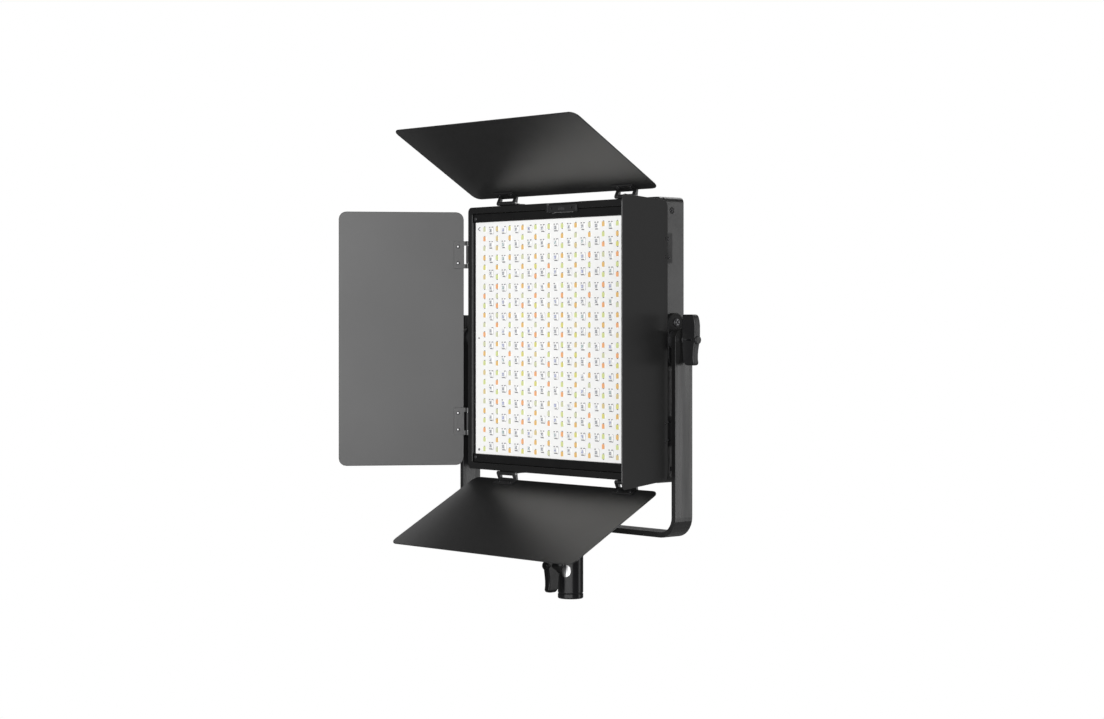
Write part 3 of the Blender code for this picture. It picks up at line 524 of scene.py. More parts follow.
def build_leaves():
    for side, outward, plane, edge, angle in LEAVES:
        body = f"leaf_{side}"
        moving, fixed = leaf_axes(outward, angle)
        shift = HINGE_SHIFT * outward.z
        drill = rod(1.1 * MM, -plane - 3 * MM, -plane + 4 * MM)
        ring = eyelet(-plane - 0.6 * MM, -plane + 1.9 * MM)
        holes = []
        for index, sign in enumerate((-1, 1)):
            label = f"{side}_{index + 1}"
            rivets = [moving @ move(sign * HINGE_OFFSET + shift + t * RIVET_SPREAD, edge + RIVET_REACH, 0)
                      for t in (-1, 1)]
            drills = [(drill, place, 0) for place in rivets]
            holes += drills
            recut(f"leaf_bracket_{label}", body, BRACKET_PAINT, drills, 0.15 * MM, 2,
                  f"bracket_{label}")
            put(f"eyelets_{label}", joined([(ring, place, 0) for place in rivets]), body, BLACK_SCREW)
            hinge = fixed @ move(sign * HINGE_OFFSET + shift, 0, 0)
            polish(f"hinge_base_{label}", BLACK_METAL, 0.15 * MM)
            polish(f"hinge_pin_{label}", BRIGHT_STEEL, 0.15 * MM)
            places = [hinge @ move(t * RIVET_SPREAD, 7.6 * MM, -0.8 * MM) for t in (-1, 1)]
            screws(f"hinge_screws_{label}", "head", BLACK_SCREW, SMALL_SCREW, places)
        recut(f"leaf_{side}", body, LEAF_PAINT, holes, 0.45 * MM, 3, f"door_{side}")


# ------------------------------------------------------------- wing knobs

# Rows: place along the wing, inner edge, outer edge, half thickness, in millimetres
WING_ROWS = (
    (-24.3, 1.5, 13.2, 2.9), (-23.9, 0.9, 14.5, 3.4), (-23.0, 0.5, 15.6, 3.6), (-21.2, 0.2, 16.5, 3.7),
    (-18.5, 0.1, 17.3, 3.75), (-14.0, 0.0, 18.0, 3.75), (-9.0, 0.0, 18.0, 3.75), (-4.5, 0.0, 18.0, 3.75),
    (0.0, 0.0, 17.6, 3.75), (4.5, 0.0, 16.8, 3.75), (9.0, 0.1, 15.9, 3.7), (14.0, 0.4, 15.3, 3.65),
    (18.5, 0.9, 15.3, 3.6), (21.4, 1.7, 16.0, 3.5), (23.0, 2.9, 15.8, 3.4), (23.9, 4.2, 14.8, 3.1),
    (24.3, 5.6, 13.6, 2.6),
)
WING_HALF = 24.3
WING_DEPTH = 18.0


def wing_knob(name, node, body, matrix, hub_radius, hub_low, wing_low, depth, half, neck,
              plastic=KNOB_PLASTIC):
    """Axis along local Z, wings along local X. Depth and half length are in millimetres."""
    loops = []
    stretch = half / WING_HALF
    for along, low, high, thick in WING_ROWS:
        low *= depth / WING_DEPTH
        high *= depth / WING_DEPTH
        outline = rounded(high - low, 2 * thick, min(1.3, thick * 0.6), (low + high) / 2, 0, 4)
        loops.append([
            (along * stretch * MM, y * MM, wing_low + z * MM) for z, y in outline
        ])
    wing = loft(loops, angle=50)
    top = wing_low + depth * MM
    shoulder = hub_radius * 0.78 - 0.5 * MM
    hub = lathe(eased([
        (0, hub_low), (4.4 * MM, hub_low), (5.0 * MM, hub_low + 0.8 * MM),
        (hub_radius, hub_low + 0.85 * neck), (hub_radius, hub_low + neck),
        (shoulder, hub_low + 1.4 * neck), (3.6 * MM, top - 5.0 * MM), (4.3 * MM, top - 2.4 * MM),
        (4.1 * MM, top - 0.2 * MM), (3.9 * MM, top + 0.7 * MM), (3.1 * MM, top + 0.95 * MM),
        (0, top + 0.98 * MM),
    ], 0.5 * MM), 56, angle=60)
    both = joined([(wing, Matrix.Identity(4), 0), (hub, Matrix.Identity(4), 0)])
    piece = put(name, both, body, plastic, matrix)
    shade(piece.data, 50)
    even_normals(piece)
    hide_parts(node)


def build_knobs():
    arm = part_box("yoke")[1].x
    for side, along in (("right", TOWARDS_RIGHT), ("left", TOWARDS_LEFT @ HALF_TURN)):
        wing_knob(f"tilt_wing_{side}", f"tilt_knob_{side}", f"tilt_knob_{side}",
                  move(z=PIVOT_Z) @ along, 4.8 * MM, arm + 0.3 * MM, arm + 0.6 * MM, 17.8, 24.3,
                  2.0 * MM)
    low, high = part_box("clamp_knob")
    facing = move(z=(low.z + high.z) / 2) @ TOWARDS_FRONT @ Matrix.Rotation(-math.pi / 2, 4, "Z")
    wing_knob("clamp_wing", "clamp_knob", "clamp", facing, 9.2 * MM, -high.y, 18.5 * MM, 16.2, 27.0,
              6.6 * MM, CLAMP_PLASTIC)


# ------------------------------------------------------ adapter and yoke


def build_adapter():
    radius = 12.9 * MM
    groove = radius - 0.5 * MM
    step = radius - 0.4 * MM
    rim = radius - 0.8 * MM
    bolt = 4.4 * MM
    bore = 11.1 * MM
    profile = [
        (rim, 0), (radius, 0.8 * MM), (radius, 4.6 * MM), (groove, 5.0 * MM), (groove, 5.8 * MM),
        (radius, 6.2 * MM), (radius, 64.0 * MM), (step, 64.3 * MM), (step, 65.2 * MM),
        (radius, 65.5 * MM), (radius, 69.2 * MM), (rim, 70 * MM), (bolt, 70 * MM),
        (bolt, 45.1 * MM), (bore, 45.1 * MM), (bore, 0.3 * MM), (11.4 * MM, 0),
    ]
    body = put("adapter_barrel", lathe(eased(profile, 0.25 * MM, 2, True), 96, closed=True), "stand",
               BLACK_ALUMINIUM)
    turned = Matrix.Rotation(math.radians(19), 4, "Z") @ move(0, -radius, 28.6 * MM) @ TOWARDS_FRONT
    window = slab([rounded(12.6 * MM, 13.0 * MM, 6.0 * MM, steps=10)], -6 * MM, 6 * MM)
    window.transform(turned)
    clamp_hole = rod(2.9 * MM, 4 * MM, 15 * MM, 32)
    clamp_hole.transform(move(z=35 * MM) @ TOWARDS_FRONT)
    for shape in (window, clamp_hole):
        cut_away(body, shape)
    shade(body.data, 35)
    edges = body.modifiers.new("edges", "BEVEL")
    edges.width = 0.35 * MM
    edges.segments = 3
    edges.limit_method = "ANGLE"
    edges.angle_limit = math.radians(50)
    even_normals(body)
    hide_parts("stand_adapter")
    polish("socket_liner", BRIGHT_STEEL, 0.15 * MM)
    polish("yoke_bolt", DARK_STEEL, 0.25 * MM)
    polish("yoke_washer", BLACK_PLASTIC, 0.2 * MM)
    polish("clamp_screw", DARK_STEEL, 0.2 * MM)


def build_yoke():
    polish("yoke", YOKE_PAINT, 0.3 * MM, 3)
    for side, sign in (("right", 1), ("left", -1)):
        polish(f"pivot_plate_{side}", PLATE_PLASTIC, 0.5 * MM, 3)
        polish(f"tilt_stud_{side}", DARK_STEEL, 0.3 * MM)
        polish(f"tilt_spacer_{side}", BLACK_PLASTIC, 0.4 * MM)
        out = TOWARDS_RIGHT if sign > 0 else TOWARDS_LEFT
        places = [move(sign * PLATE_HIGH.x, PLATE_Y + 0.8 * MM, PIVOT_Z + s * 16.8 * MM) @ out
                  for s in (-1, 1)]
        screws(f"pivot_screws_{side}", "head", GREY_SCREW, PLATE_SCREW, places)


# ------------------------------------------------------------ light engine


def ring_points(half_x, half_z, power, height, count):
    """Points round a soft rectangle (high power) or an ellipse (power 2)."""
    points = []
    for k in range(count):
        turn = 2 * math.pi * (k + 0.5) / count
        c, s = math.cos(turn), math.sin(turn)
        points.append((
            half_x * math.copysign(abs(c) ** (2 / power), c), -height,
            half_z * math.copysign(abs(s) ** (2 / power), s),
        ))
    return points


def package(rings, finishes):
    """Vertices and (face, material) rows of one LED package standing on y = 0, facing -Y."""
    verts = []
    faces = []
    for ring in rings:
        verts += ring
    count = len(rings[0])
    for level in range(len(rings) - 1):
        for k in range(count):
            after = (k + 1) % count
            low = level * count
            high = low + count
            faces.append(((low + k, high + k, high + after, low + after), finishes[level]))
    last = (len(rings) - 1) * count
    faces.append((tuple(last + k for k in range(count - 1, -1, -1)), finishes[-1]))
    return verts, faces


def bar_rows(x, z, width, tall, low, high, material):
    """Vertices and face rows of a small bar on the board."""
    verts = []
    for y in (-low, -high):
        for sx, sz in ((-1, -1), (1, -1), (1, 1), (-1, 1)):
            verts.append((x + sx * width / 2, y, z + sz * tall / 2))
    sides = [(0, 1, 2, 3), (7, 6, 5, 4), (0, 4, 5, 1), (1, 5, 6, 2), (2, 6, 7, 3), (3, 7, 4, 0)]
    return verts, [(side, material) for side in sides]


class Swarm:
    """Collects many small shapes into one mesh with several materials."""

    def __init__(self):
        self.verts, self.faces, self.marks = [], [], []

    def add(self, shape, x=0.0, z=0.0, swap=None):
        verts, faces = shape
        base = len(self.verts)
        self.verts += [(vx + x, vy + BOARD_FRONT, vz + z + HEAD_Z) for vx, vy, vz in verts]
        for face, mark in faces:
            self.faces.append([base + k for k in face])
            self.marks.append((swap or {}).get(mark, mark))

    def finish(self, name, finishes, slot):
        mesh = bpy.data.meshes.new(name)
        mesh.from_pydata(self.verts, [], self.faces)
        bm = bmesh.new()
        bm.from_mesh(mesh)
        bmesh.ops.recalc_face_normals(bm, faces=bm.faces)
        bm.to_mesh(mesh)
        bm.free()
        mesh.polygons.foreach_set("material_index", self.marks)
        shade(mesh, 45)
        return put(name, mesh, "head", finishes)


# LED grids, in millimetres from the board's centre, counted from the top left
COLUMN_STEP = 20
WHITE_COLUMNS = 13
WHITE_ROWS = 24
WHITE_STEP = 10
WHITE_CORNER = (-120, 114)
COLOUR_COLUMNS = 12
COLOUR_ROWS = 16
COLOUR_STEP = 15
COLOUR_CORNER = (-110, 112.6)

# Bars printed beside a colour LED, as (x, z, width, height) in millimetres from its centre
PRINTED_BRACKET = (
    (4.1, 0, 0.32, 6.4), (3.75, -3.45, 0.5, 0.5), (2.9, -3.85, 1.3, 0.32),
    (3.75, 3.45, 0.5, 0.5), (2.9, 3.85, 1.3, 0.32),
)


def build_white_leds():
    lamp = package([
        ring_points(2.05 * MM, 2.55 * MM, 9, -0.1 * MM, 12),
        ring_points(2.02 * MM, 2.52 * MM, 9, 0.40 * MM, 12),
        ring_points(1.96 * MM, 2.46 * MM, 9, 0.46 * MM, 12),
        ring_points(1.88 * MM, 2.38 * MM, 7, 0.43 * MM, 12),
        ring_points(1.10 * MM, 1.60 * MM, 3, 0.41 * MM, 12),
    ], [0, 0, 0, 1, 1])
    pad = bar_rows(0, 0, 2.0 * MM, 0.7 * MM, -0.02 * MM, 0.14 * MM, 2)
    small = Swarm()
    for column in range(WHITE_COLUMNS):
        for row in range(WHITE_ROWS):
            x = (WHITE_CORNER[0] + COLUMN_STEP * column) * MM
            z = (WHITE_CORNER[1] - WHITE_STEP * row) * MM
            # Mark 1 becomes one of the six phosphors; lime ones alternate with amber ones, nearly always.
            family = (column + row) % 2 if DICE.random() < 0.86 else DICE.choice((0, 1))
            pick = DICE.random()
            if family == 0:
                tone = 0 if pick < 0.45 else 1 if pick < 0.75 else 2
            else:
                tone = 3 if pick < 0.45 else 4 if pick < 0.85 else 5
            small.add(lamp, x, z, {1: 3 + tone, 2: 2})
            small.add(pad, x, z + 2.78 * MM)
            if DICE.random() < 0.35:
                small.add(pad, x, z - 2.78 * MM)
    small.finish("white_leds", [PACKAGE_WHITE, EPOXY, SOLDER] + PHOSPHORS, "white_board")


def build_colour_leds():
    colour = package([
        ring_points(2.55 * MM, 2.55 * MM, 12, -0.1 * MM, 16),
        ring_points(2.50 * MM, 2.50 * MM, 12, 0.75 * MM, 16),
        ring_points(2.40 * MM, 2.40 * MM, 10, 0.90 * MM, 16),
        ring_points(2.05 * MM, 2.05 * MM, 2, 0.90 * MM, 16),
        ring_points(1.90 * MM, 1.90 * MM, 2, 0.80 * MM, 16),
    ], [0, 0, 0, 0, 1])
    many = Swarm()
    for column in range(COLOUR_COLUMNS):
        for row in range(COLOUR_ROWS):
            x = (COLOUR_CORNER[0] + COLUMN_STEP * column) * MM
            z = (COLOUR_CORNER[1] - COLOUR_STEP * row) * MM
            many.add(colour, x, z)
            # Marks 4, 5 and 6 are the dark, blue and green dies.
            tone = 4 if column % 2 == 0 or DICE.random() < 0.3 else DICE.choice((5, 5, 6))
            dies = [(0.0, 0.0, 4 if DICE.random() < 0.5 else tone)]
            for dx, dz in ((-0.8, 0.95), (0.8, 0.95), (-0.8, -0.95), (0.8, -0.95)):
                if DICE.random() < 0.85:
                    dies.append((dx, dz, tone))
            for dx, dz, mark in dies:
                die = bar_rows(dx * MM, dz * MM, 0.85 * MM, 0.85 * MM, 0.70 * MM, 0.88 * MM, mark)
                many.add(die, x, z)
            for dx in (-1.95, 1.95):
                if DICE.random() < 0.9:
                    many.add(bar_rows(dx * MM, 3.4 * MM, 1.8 * MM, 0.9 * MM, -0.02 * MM, 0.14 * MM, 2), x, z)
            width = DICE.uniform(3.4, 5.0)
            shift = DICE.uniform(-0.3, 0.6)
            many.add(bar_rows(shift * MM, -3.4 * MM, width * MM, 0.85 * MM, -0.02 * MM, 0.14 * MM, 2),
                     x, z)
            if DICE.random() < 0.6:
                for dx, dz, wide, tall in PRINTED_BRACKET:
                    mark = bar_rows(dx * MM, dz * MM, wide * MM, tall * MM, -0.02 * MM, 0.05 * MM, 3)
                    many.add(mark, x, z)
    many.finish("colour_leds", [PACKAGE_WHITE, EPOXY, SOLDER, PRINT_GREY, DIE_DARK, DIE_BLUE, DIE_GREEN],
                "white_board")


def build_board_print():
    rows = []
    for sz in (-1, 1):
        mark = block((4.3 * MM, 0.06 * MM, 0.9 * MM))
        rows.append((mark, move(-129.0 * MM, BOARD_FRONT - 0.02 * MM, HEAD_Z + (114.6 + sz * 1.0) * MM)
                     @ Matrix.Rotation(-sz * math.radians(28), 4, "Y"), 0))
    for x, z in ((-129, -117), (129, -117), (129, 117)):
        ring = slab([circle(0, 0, 1.5 * MM), circle(0, 0, 0.9 * MM)], 0, 0.06 * MM)
        rows.append((ring, move(x * MM, BOARD_FRONT, HEAD_Z + z * MM) @ TOWARDS_FRONT, 0))
    put("board_print", joined(rows), "head", PRINT_GREY)
    heads = [move(x * MM, BOARD_FRONT, HEAD_Z + z * MM) @ TOWARDS_FRONT
             for x, z in ((-129, -117), (129, -117), (129, 117), (-129, 0), (129, 0))]
    dots = lathe([(0, 0), (0.85 * MM, 0), (0.85 * MM, 0.25 * MM), (0.5 * MM, 0.35 * MM), (0, 0.35 * MM)], 20)
    put("board_pins", joined([(dots, p, 0) for p in heads]), "head", DARK_STEEL)


# ------------------------------------------------------------ bezel, front


def build_front():
    polish("front_bezel", BEZEL_PAINT, 0.7 * MM, 3)
    polish("led_board", WHITE_BOARD, 0.2 * MM)
    polish("heat_sink", BARE_ALUMINIUM, 0.2 * MM)
    polish("driver_board", GREEN_BOARD, 0.2 * MM)
    for name, sign in (("top", 1), ("bottom", -1)):
        polish(f"diffuser_rail_{name}", RAIL_PLASTIC, 0.35 * MM, 3)
        low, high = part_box(f"diffuser_rail_{name}")
        middle = (low.z + high.z) / 2
        ribs = [(block((0.7 * MM, 0.5 * MM, 4.6 * MM), edge=0.15 * MM),
                 move(x * MM, low.y - 0.05 * MM, middle), 0) for x in (-115, -2, 115)]
        lip = block(((low - high).length * 0.98, 0.5 * MM, 0.6 * MM), edge=0.12 * MM)
        ribs.append((lip, move(0, low.y - 0.05 * MM, (low.z if sign > 0 else high.z) + sign * 1.2 * MM), 0))
        put(f"rail_ribs_{name}", joined(ribs), "head", RAIL_PLASTIC)
        places = [move(x * 132.4 * MM, low.y, HEAD_Z + sign * 125.2 * MM) @ TOWARDS_FRONT for x in (-1, 1)]
        screws(f"rail_screws_{name}", "head", GREY_SCREW, SMALL_SCREW, places)


def build_latch():
    low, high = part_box("diffuser_latch")
    middle = (low.z + high.z) / 2
    at = (low.x + high.x) / 2
    cuts = []
    for x in (-15, 15):
        cuts.append((rod(1.35 * MM, -1 * MM, 1.0 * MM, 28),
                     move(at + x * MM, low.y, middle + 0.6 * MM) @ TOWARDS_FRONT @ move(z=-0.4 * MM), 0))
    for x in (-20.9, 20.9):
        cuts.append((block((0.5 * MM, 1.0 * MM, 20 * MM)), move(at + x * MM, low.y, middle), 0))
    for k in range(5):
        cuts.append((block((0.6 * MM, 0.6 * MM, 3.4 * MM)), move(at + (k - 2) * 1.8 * MM, low.y, middle), 0))
    recut("diffuser_latch", "diffuser_latch", BLACK_PLASTIC, cuts, 0.3 * MM, 2,
          "latch_plate")
    places = [move(at + x * MM, low.y + 0.75 * MM, middle + 0.6 * MM) @ TOWARDS_FRONT for x in (-15, 15)]
    screws("latch_screws", "diffuser_latch", BLACK_SCREW,
           screw_mesh(1.15 * MM, 0.45 * MM), places)
    y = low.y + 1.7 * MM
    z = low.z - 0.1 * MM
    spring = wire([(-15 * MM, y, z - 0.9 * MM), (-12.6 * MM, y, z - 0.8 * MM), (-11.8 * MM, y, z),
                   (-8 * MM, y, z), (0, y, z), (10 * MM, y, z), (15.5 * MM, y, z)], 0.33 * MM)
    put("latch_spring", spring, "diffuser_latch", BRIGHT_STEEL, move(x=at))


# -------------------------------------------------------------- rear side


def build_housing():
    cuts = []
    side_screws = []
    for sx in (-1, 1):
        out = TOWARDS_RIGHT if sx > 0 else TOWARDS_LEFT
        for sz in (-1, 1):
            place = move(sx * HALF_WIDTH, 0.4 * MM, HEAD_Z + sz * 124.4 * MM) @ out
            cuts.append((rod(2.9 * MM, -0.9 * MM, 1 * MM, 32), place, 0))
            side_screws.append(place @ move(z=-0.75 * MM))
            place = move(sx * 131 * MM, HEAD_BACK, HEAD_Z + sz * 126 * MM) @ TOWARDS_BACK
            cuts.append((rod(2.9 * MM, -0.9 * MM, 1 * MM, 32), place, 0))
            side_screws.append(place @ move(z=-0.75 * MM))
        for k in range(19):
            shape = slab([rounded(26 * MM, 2.2 * MM, 1.05 * MM)], -3 * MM, 3 * MM)
            place = move(sx * 119 * MM, HEAD_BACK - 1 * MM, HEAD_Z + (k - 9) * 9 * MM) @ TOWARDS_FRONT
            cuts.append((shape, place, 0))
    recut("rear_housing", "head", HEAD_PAINT, cuts, 0.8 * MM, 3, "housing_shell")
    screws("housing_screws", "head", BLACK_SCREW, PANEL_SCREW, side_screws)


def digit_bars(text, height, gap):
    """Seven-segment bars of a number as (x, z, width, tall) rows, starting at x = 0."""
    shapes = {"0": "abcdef", "1": "bc", "5": "acdfg", "6": "acdefg"}
    width = height * 0.5
    thick = height * 0.13
    rows = []
    for index, sign in enumerate(text):
        x = index * (width + gap)
        spots = {
            "a": (x + width / 2, height, width * 0.8, thick),
            "b": (x + width, height * 0.75, thick, height * 0.42),
            "c": (x + width, height * 0.25, thick, height * 0.42),
            "d": (x + width / 2, 0, width * 0.8, thick),
            "e": (x, height * 0.25, thick, height * 0.42),
            "f": (x, height * 0.75, thick, height * 0.42),
            "g": (x + width / 2, height / 2, width * 0.8, thick),
        }
        rows += [spots[segment] for segment in shapes[sign]]
    return rows


def build_cover():
    cuts = []
    heads = []
    for sx in (-1, 1):
        for sz in (-1, 1):
            place = move(sx * 90 * MM, BACK, HEAD_Z + sz * 97 * MM) @ TOWARDS_BACK
            cuts.append((rod(3.0 * MM, -1.0 * MM, 1 * MM, 32), place, 0))
            heads.append(place @ move(z=-0.85 * MM))
    for k in range(9):
        shape = slab([rounded(3.0 * MM, 13 * MM, 1.45 * MM)], -4 * MM, 4 * MM)
        for sx in (-1, 1):
            cuts.append((shape, move(sx * (44 + 4.6 * k) * MM, BACK, HEAD_Z + 90 * MM) @ TOWARDS_FRONT, 0))
    for k in range(15):
        shape = slab([rounded(2.4 * MM, 14 * MM, 1.15 * MM)], -4 * MM, 4 * MM)
        for sx in (-1, 1):
            place = move(sx * COVER_HIGH.x, 27.4 * MM, HEAD_Z + (k - 7) * 7 * MM)
            cuts.append((shape, place @ TOWARDS_RIGHT @ QUARTER_TURN @ QUARTER_TURN, 0))
    recut("rear_cover", "head", COVER_PLASTIC, cuts, 0.9 * MM, 3, "back_cover")
    screws("cover_screws", "head", BLACK_SCREW, PANEL_SCREW, heads)


def build_screen():
    polish("lcd_window", SCREEN_GLASS, 0.25 * MM)
    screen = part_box("lcd_window")
    centre_z = (screen[0].z + screen[1].z) / 2
    rows = []
    # Rows: number, left end as seen from behind, height above the centre, digit height
    for text, start, z, height in (("5600", 27, 3, 9), ("100", 27, -12.5, 9), ("15", -8, -12.5, 6)):
        for x, dz, w, tall in digit_bars(text, height, 2.2):
            # The back is seen from +Y, where +X lies to the left.
            rows.append((block((w * MM, 0.05 * MM, tall * MM)),
                         move((start - 4 - x) * MM, screen[1].y + 0.01 * MM, centre_z + (z + dz) * MM), 0))
    for k in range(8):
        rows.append((block((3.2 * MM, 0.05 * MM, 1.6 * MM)),
                     move((-5 - 3.2 * k) * MM, screen[1].y + 0.01 * MM, centre_z + 8.5 * MM), 0))
    put("screen_marks", joined(rows), "head", SCREEN_MARK)
    rim = slab([rounded(72 * MM, 42 * MM, 4 * MM), rounded(66.2 * MM, 36.2 * MM, 2 * MM)],
               0, 0.7 * MM, 0.25 * MM)
    put("screen_rim", rim, "head", BLACK_PLASTIC,
        move(0, BACK, centre_z) @ TOWARDS_BACK)


DIAL_POINTS = 120
SCALE_RADIUS = 13.2 * MM


def dial_ring(radius, height, inset, knurl):
    """One level of a dial's grip, in millimetres but for its radius. Knurling sinks two points in four."""
    loop = []
    for k in range(DIAL_POINTS):
        turn = 2 * math.pi * k / DIAL_POINTS
        reach = radius - (inset + knurl * 0.35 * (k % 4 < 2)) * MM
        loop.append((reach * math.cos(turn), reach * math.sin(turn), height * MM))
    return loop


def build_dials():
    face = BACK + 0.3 * MM
    for name in ("brightness_dial", "colour_dial"):
        low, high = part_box(name)
        x = (low.x + high.x) / 2
        z = (low.z + high.z) / 2
        radius = (high.x - low.x) / 2
        depth = high.y - face
        top = depth / MM
        cap = loft([dial_ring(radius, *level) for level in (
            (0, 0.5, 0), (0.4, 0.1, 0.2), (1.2, 0.0, 1), (top - 1.6, 0.15, 1), (top - 0.9, 0.3, 0.4),
            (top - 0.3, 0.6, 0), (top, 1.3, 0), (top - 0.5, 2.1, 0), (top - 0.5, 6.0, 0),
        )], angle=35)
        shaft = rod(3.1 * MM, -8 * MM, 0.4 * MM, 32)
        pointer = block((0.9 * MM, 5.0 * MM, 0.3 * MM), (0, radius - 4.2 * MM, depth - 0.42 * MM),
                        0.08 * MM)
        whole = joined([(cap, Matrix.Identity(4), 0), (shaft, Matrix.Identity(4), 1),
                        (pointer, Matrix.Identity(4), 2)])
        piece = put(f"{name}_grip", whole, name, [RUBBER, DARK_STEEL, PRINT_WHITE],
                    move(x, face, z) @ TOWARDS_BACK)
        shade(piece.data, 35)
        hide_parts(name)
        ticks = []
        for k in range(11):
            turn = math.radians(-135 + 27 * k)
            tall = 2.2 if k % 5 == 0 else 1.3
            spot = move(x + SCALE_RADIUS * math.sin(turn), BACK + 0.02 * MM,
                        z + SCALE_RADIUS * math.cos(turn))
            ticks.append((block((0.45 * MM, 0.06 * MM, tall * MM)), spot @ Matrix.Rotation(turn, 4, "Y"), 0))
        put(f"{name}_scale", joined(ticks), "head", PRINT_WHITE)


def build_buttons():
    for name in ("mode_button", "channel_button"):
        polish(name, GREY_PLASTIC, 0.5 * MM, 3)
        low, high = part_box(name)
        collar = slab([rounded(14.0 * MM, 10.0 * MM, 1.6 * MM), rounded(10.9 * MM, 6.9 * MM, 0.6 * MM)],
                      0, 0.5 * MM, 0.18 * MM)
        put(f"{name}_collar", collar, "head", BLACK_PLASTIC,
            move((low.x + high.x) / 2, BACK, (low.z + high.z) / 2) @ TOWARDS_BACK)


def build_power():
    polish("power_switch", BLACK_PLASTIC, 0.35 * MM, 3)
    collar = slab([rounded(18.5 * MM, 25.0 * MM, 1.5 * MM), rounded(14.0 * MM, 20.0 * MM, 0.5 * MM)],
                  0, 0.9 * MM, 0.3 * MM)
    low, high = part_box("power_switch")
    put("switch_collar", collar, "head", BLACK_PLASTIC,
        move(0, BACK, (low.z + high.z) / 2) @ TOWARDS_BACK)

    polish("power_socket", BLACK_PLASTIC, 0.3 * MM)
    low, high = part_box("power_socket")
    place = move((low.x + high.x) / 2, high.y, (low.z + high.z) / 2) @ TOWARDS_BACK
    pin = lathe([(0, -10 * MM), (1.05 * MM, -10 * MM), (1.05 * MM, -1.7 * MM), (0.7 * MM, -1.2 * MM),
                 (0, -1.2 * MM)], 24)
    sleeve = lathe([(4.15 * MM, -9.5 * MM), (4.15 * MM, -0.8 * MM), (3.8 * MM, -0.8 * MM),
                    (3.8 * MM, -9.5 * MM)], 32, closed=True)
    put("inlet_contacts", joined([(pin, place, 0), (sleeve, place, 0)]), "head", BRIGHT_STEEL)


def build_battery():
    polish("battery_plate", BLACK_PLASTIC, 0.4 * MM, 3)
    low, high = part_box("battery_plate")
    base = low.y + 3 * MM
    contacts = []
    seats = []
    for sx in (-1, 1):
        centre = sx * 25 * MM
        for k in (-1, 0, 1):
            contacts.append((block((1.6 * MM, 2.4 * MM, 9 * MM), edge=0.4 * MM),
                             move(centre + k * 6 * MM, base + 0.6 * MM, low.z + 12 * MM), 0))
        seats.append((block((24 * MM, 1.8 * MM, 15 * MM), edge=0.6 * MM),
                      move(centre, base + 0.3 * MM, low.z + 12 * MM), 0))
        for k in (-1, 1):
            for row in range(3):
                seats.append((block((3.2 * MM, 1.6 * MM, 7 * MM), edge=0.4 * MM),
                              move(centre + k * 19.2 * MM, base + 1.6 * MM, low.z + (24 + 15 * row) * MM), 0))
        seats.append((block((12 * MM, 2.6 * MM, 6 * MM), edge=0.8 * MM),
                      move(centre, base + 1.0 * MM, high.z - 5 * MM), 0))
    put("battery_contacts", joined(contacts), "head", GOLD)
    put("battery_seats", joined(seats), "head", BLACK_PLASTIC)


# ---------------------------------------------------------- stage and light


CAMERA_TURN = math.radians(48.1)
CAMERA_DISTANCE = 2.1875
CAMERA_LEFT = 0.02678
CAMERA_RISE = 0.0184
FOCAL_LENGTH = 70.86
FLOOR_RADIUS = 2.5
FLOOR_Z = -0.9


def split_by_ray(tree, unseen, seen, target):
    """One shader for the camera and another for light and reflections."""
    path = tree.nodes.new("ShaderNodeLightPath")
    mix = tree.nodes.new("ShaderNodeMixShader")
    tree.links.new(path.outputs["Is Camera Ray"], mix.inputs["Fac"])
    tree.links.new(unseen, mix.inputs[1])
    tree.links.new(seen, mix.inputs[2])
    tree.links.new(mix.outputs["Shader"], target)


def pale_floor():
    """Grey in reflections, so that the paint keeps its contrast, and pale where it is looked at."""
    made = finish("floor_pale", (0.42, 0.42, 0.42), 0.8, cloud=2, mottle=0.01)
    nodes = made.node_tree.nodes
    looked_at = nodes.new("ShaderNodeBsdfPrincipled")
    looked_at.inputs["Base Color"].default_value = (0.82, 0.82, 0.82, 1)
    looked_at.inputs["Roughness"].default_value = 0.8
    looked_at.inputs["Emission Color"].default_value = (1, 1, 1, 1)
    looked_at.inputs["Emission Strength"].default_value = 0.38
    split_by_ray(made.node_tree, nodes["Principled BSDF"].outputs["BSDF"], looked_at.outputs["BSDF"],
                 nodes["Material Output"].inputs["Surface"])
    return made


def build_camera():
    ahead = Vector((-math.sin(CAMERA_TURN), math.cos(CAMERA_TURN), 0))
    right = Vector((math.cos(CAMERA_TURN), math.sin(CAMERA_TURN), 0))
    centre = Vector((0, HEAD_FRONT, HEAD_Z))
    eye = centre - ahead * CAMERA_DISTANCE - right * CAMERA_LEFT + Vector((0, 0, CAMERA_RISE))
    lens = bpy.data.cameras.new("camera")
    lens.sensor_width = 36
    lens.lens = FOCAL_LENGTH
    lens.shift_x = 0.0172
    lens.shift_y = -0.0352
    lens.clip_end = 50
    camera = bpy.data.objects.new("camera", lens)
    bpy.context.scene.collection.objects.link(camera)
    camera.matrix_world = Matrix.Translation(eye) @ ahead.to_track_quat("-Z", "Y").to_matrix().to_4x4()
    bpy.context.scene.camera = camera


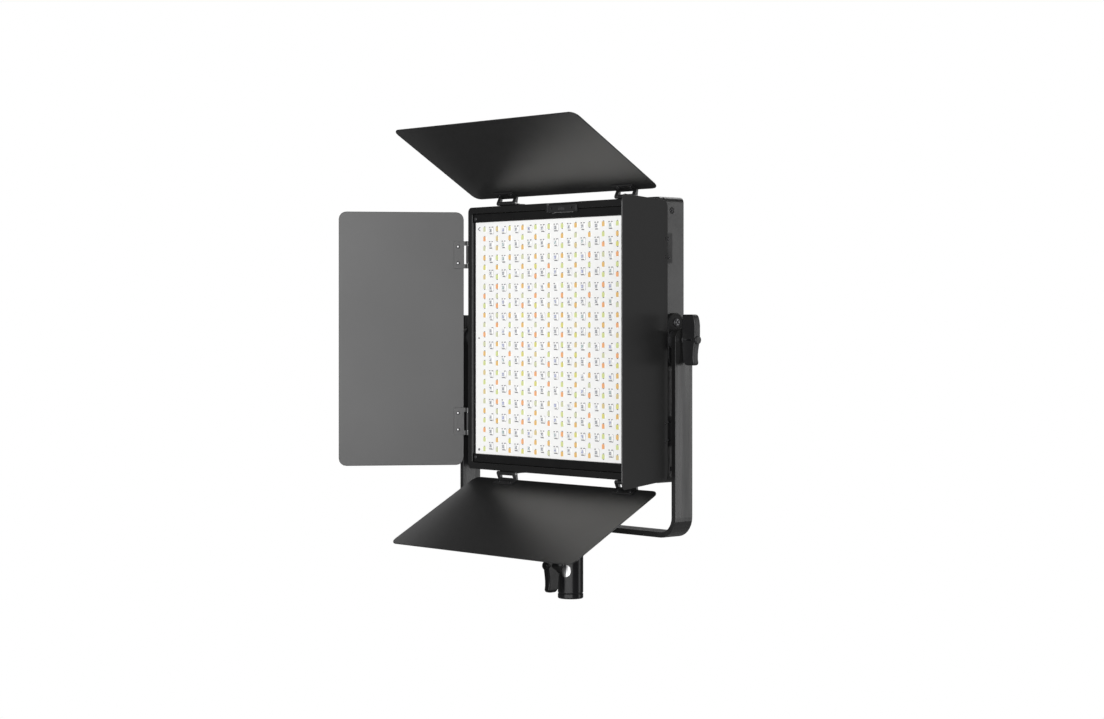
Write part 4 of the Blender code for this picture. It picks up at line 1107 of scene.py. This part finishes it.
def build_floor():
    mesh = bpy.data.meshes.new("floor")
    ring = [(x, y, FLOOR_Z) for x, y in circle(0, 0, FLOOR_RADIUS, 96)]
    mesh.from_pydata(ring, [], [tuple(range(96))])
    floor = bpy.data.objects.new("floor", mesh)
    mesh.materials.append(pale_floor())
    bpy.context.scene.collection.objects.link(floor)


def build_world():
    """A white backdrop that gives little light of its own."""
    world = bpy.data.worlds.new("studio")
    bpy.context.scene.world = world
    world.use_nodes = True
    nodes = world.node_tree.nodes
    plain = nodes["Background"]
    plain.inputs["Color"].default_value = (1, 1, 1, 1)
    plain.inputs["Strength"].default_value = 0.13
    seen = nodes.new("ShaderNodeBackground")
    seen.inputs["Color"].default_value = (1, 1, 1, 1)
    seen.inputs["Strength"].default_value = 1.0
    split_by_ray(world.node_tree, plain.outputs["Background"], seen.outputs["Background"],
                 nodes["World Output"].inputs["Surface"])
    bpy.context.scene.view_settings.view_transform = "Standard"


def softbox(name, azimuth, height, distance, size, power):
    """A soft light aimed at the object. Azimuth counts from the front (-Y) towards the right (+X)."""
    angle = math.radians(azimuth)
    spot = Vector((distance * math.sin(angle), -distance * math.cos(angle), height))
    light = bpy.data.lights.new(name, "AREA")
    light.shape = "RECTANGLE"
    light.size, light.size_y = size
    light.energy = power
    lamp = bpy.data.objects.new(name, light)
    bpy.context.scene.collection.objects.link(lamp)
    aim = Vector((0, 0, 0.24)) - spot
    lamp.matrix_world = Matrix.Translation(spot) @ aim.to_track_quat("-Z", "Y").to_matrix().to_4x4()


def build_lights():
    softbox("key", 28, 0.5, 2.8, (4.3, 2.0), 111)
    softbox("side", 136, 0.35, 2.4, (0.9, 1.8), 10.5)
    softbox("back", -116, 1.5, 2.0, (1.6, 1.6), 4)
    softbox("top", 20, 2.3, 0.5, (1.4, 1.4), 6)
    softbox("rear", 205, 2.0, 1.7, (1.8, 1.0), 16)


build_camera()
build_floor()
build_world()
build_lights()
build_front()
build_white_leds()
build_colour_leds()
build_board_print()
build_latch()
build_housing()
build_cover()
build_screen()
build_dials()
build_buttons()
build_power()
build_battery()
build_yoke()
build_adapter()
build_knobs()
build_leaves()
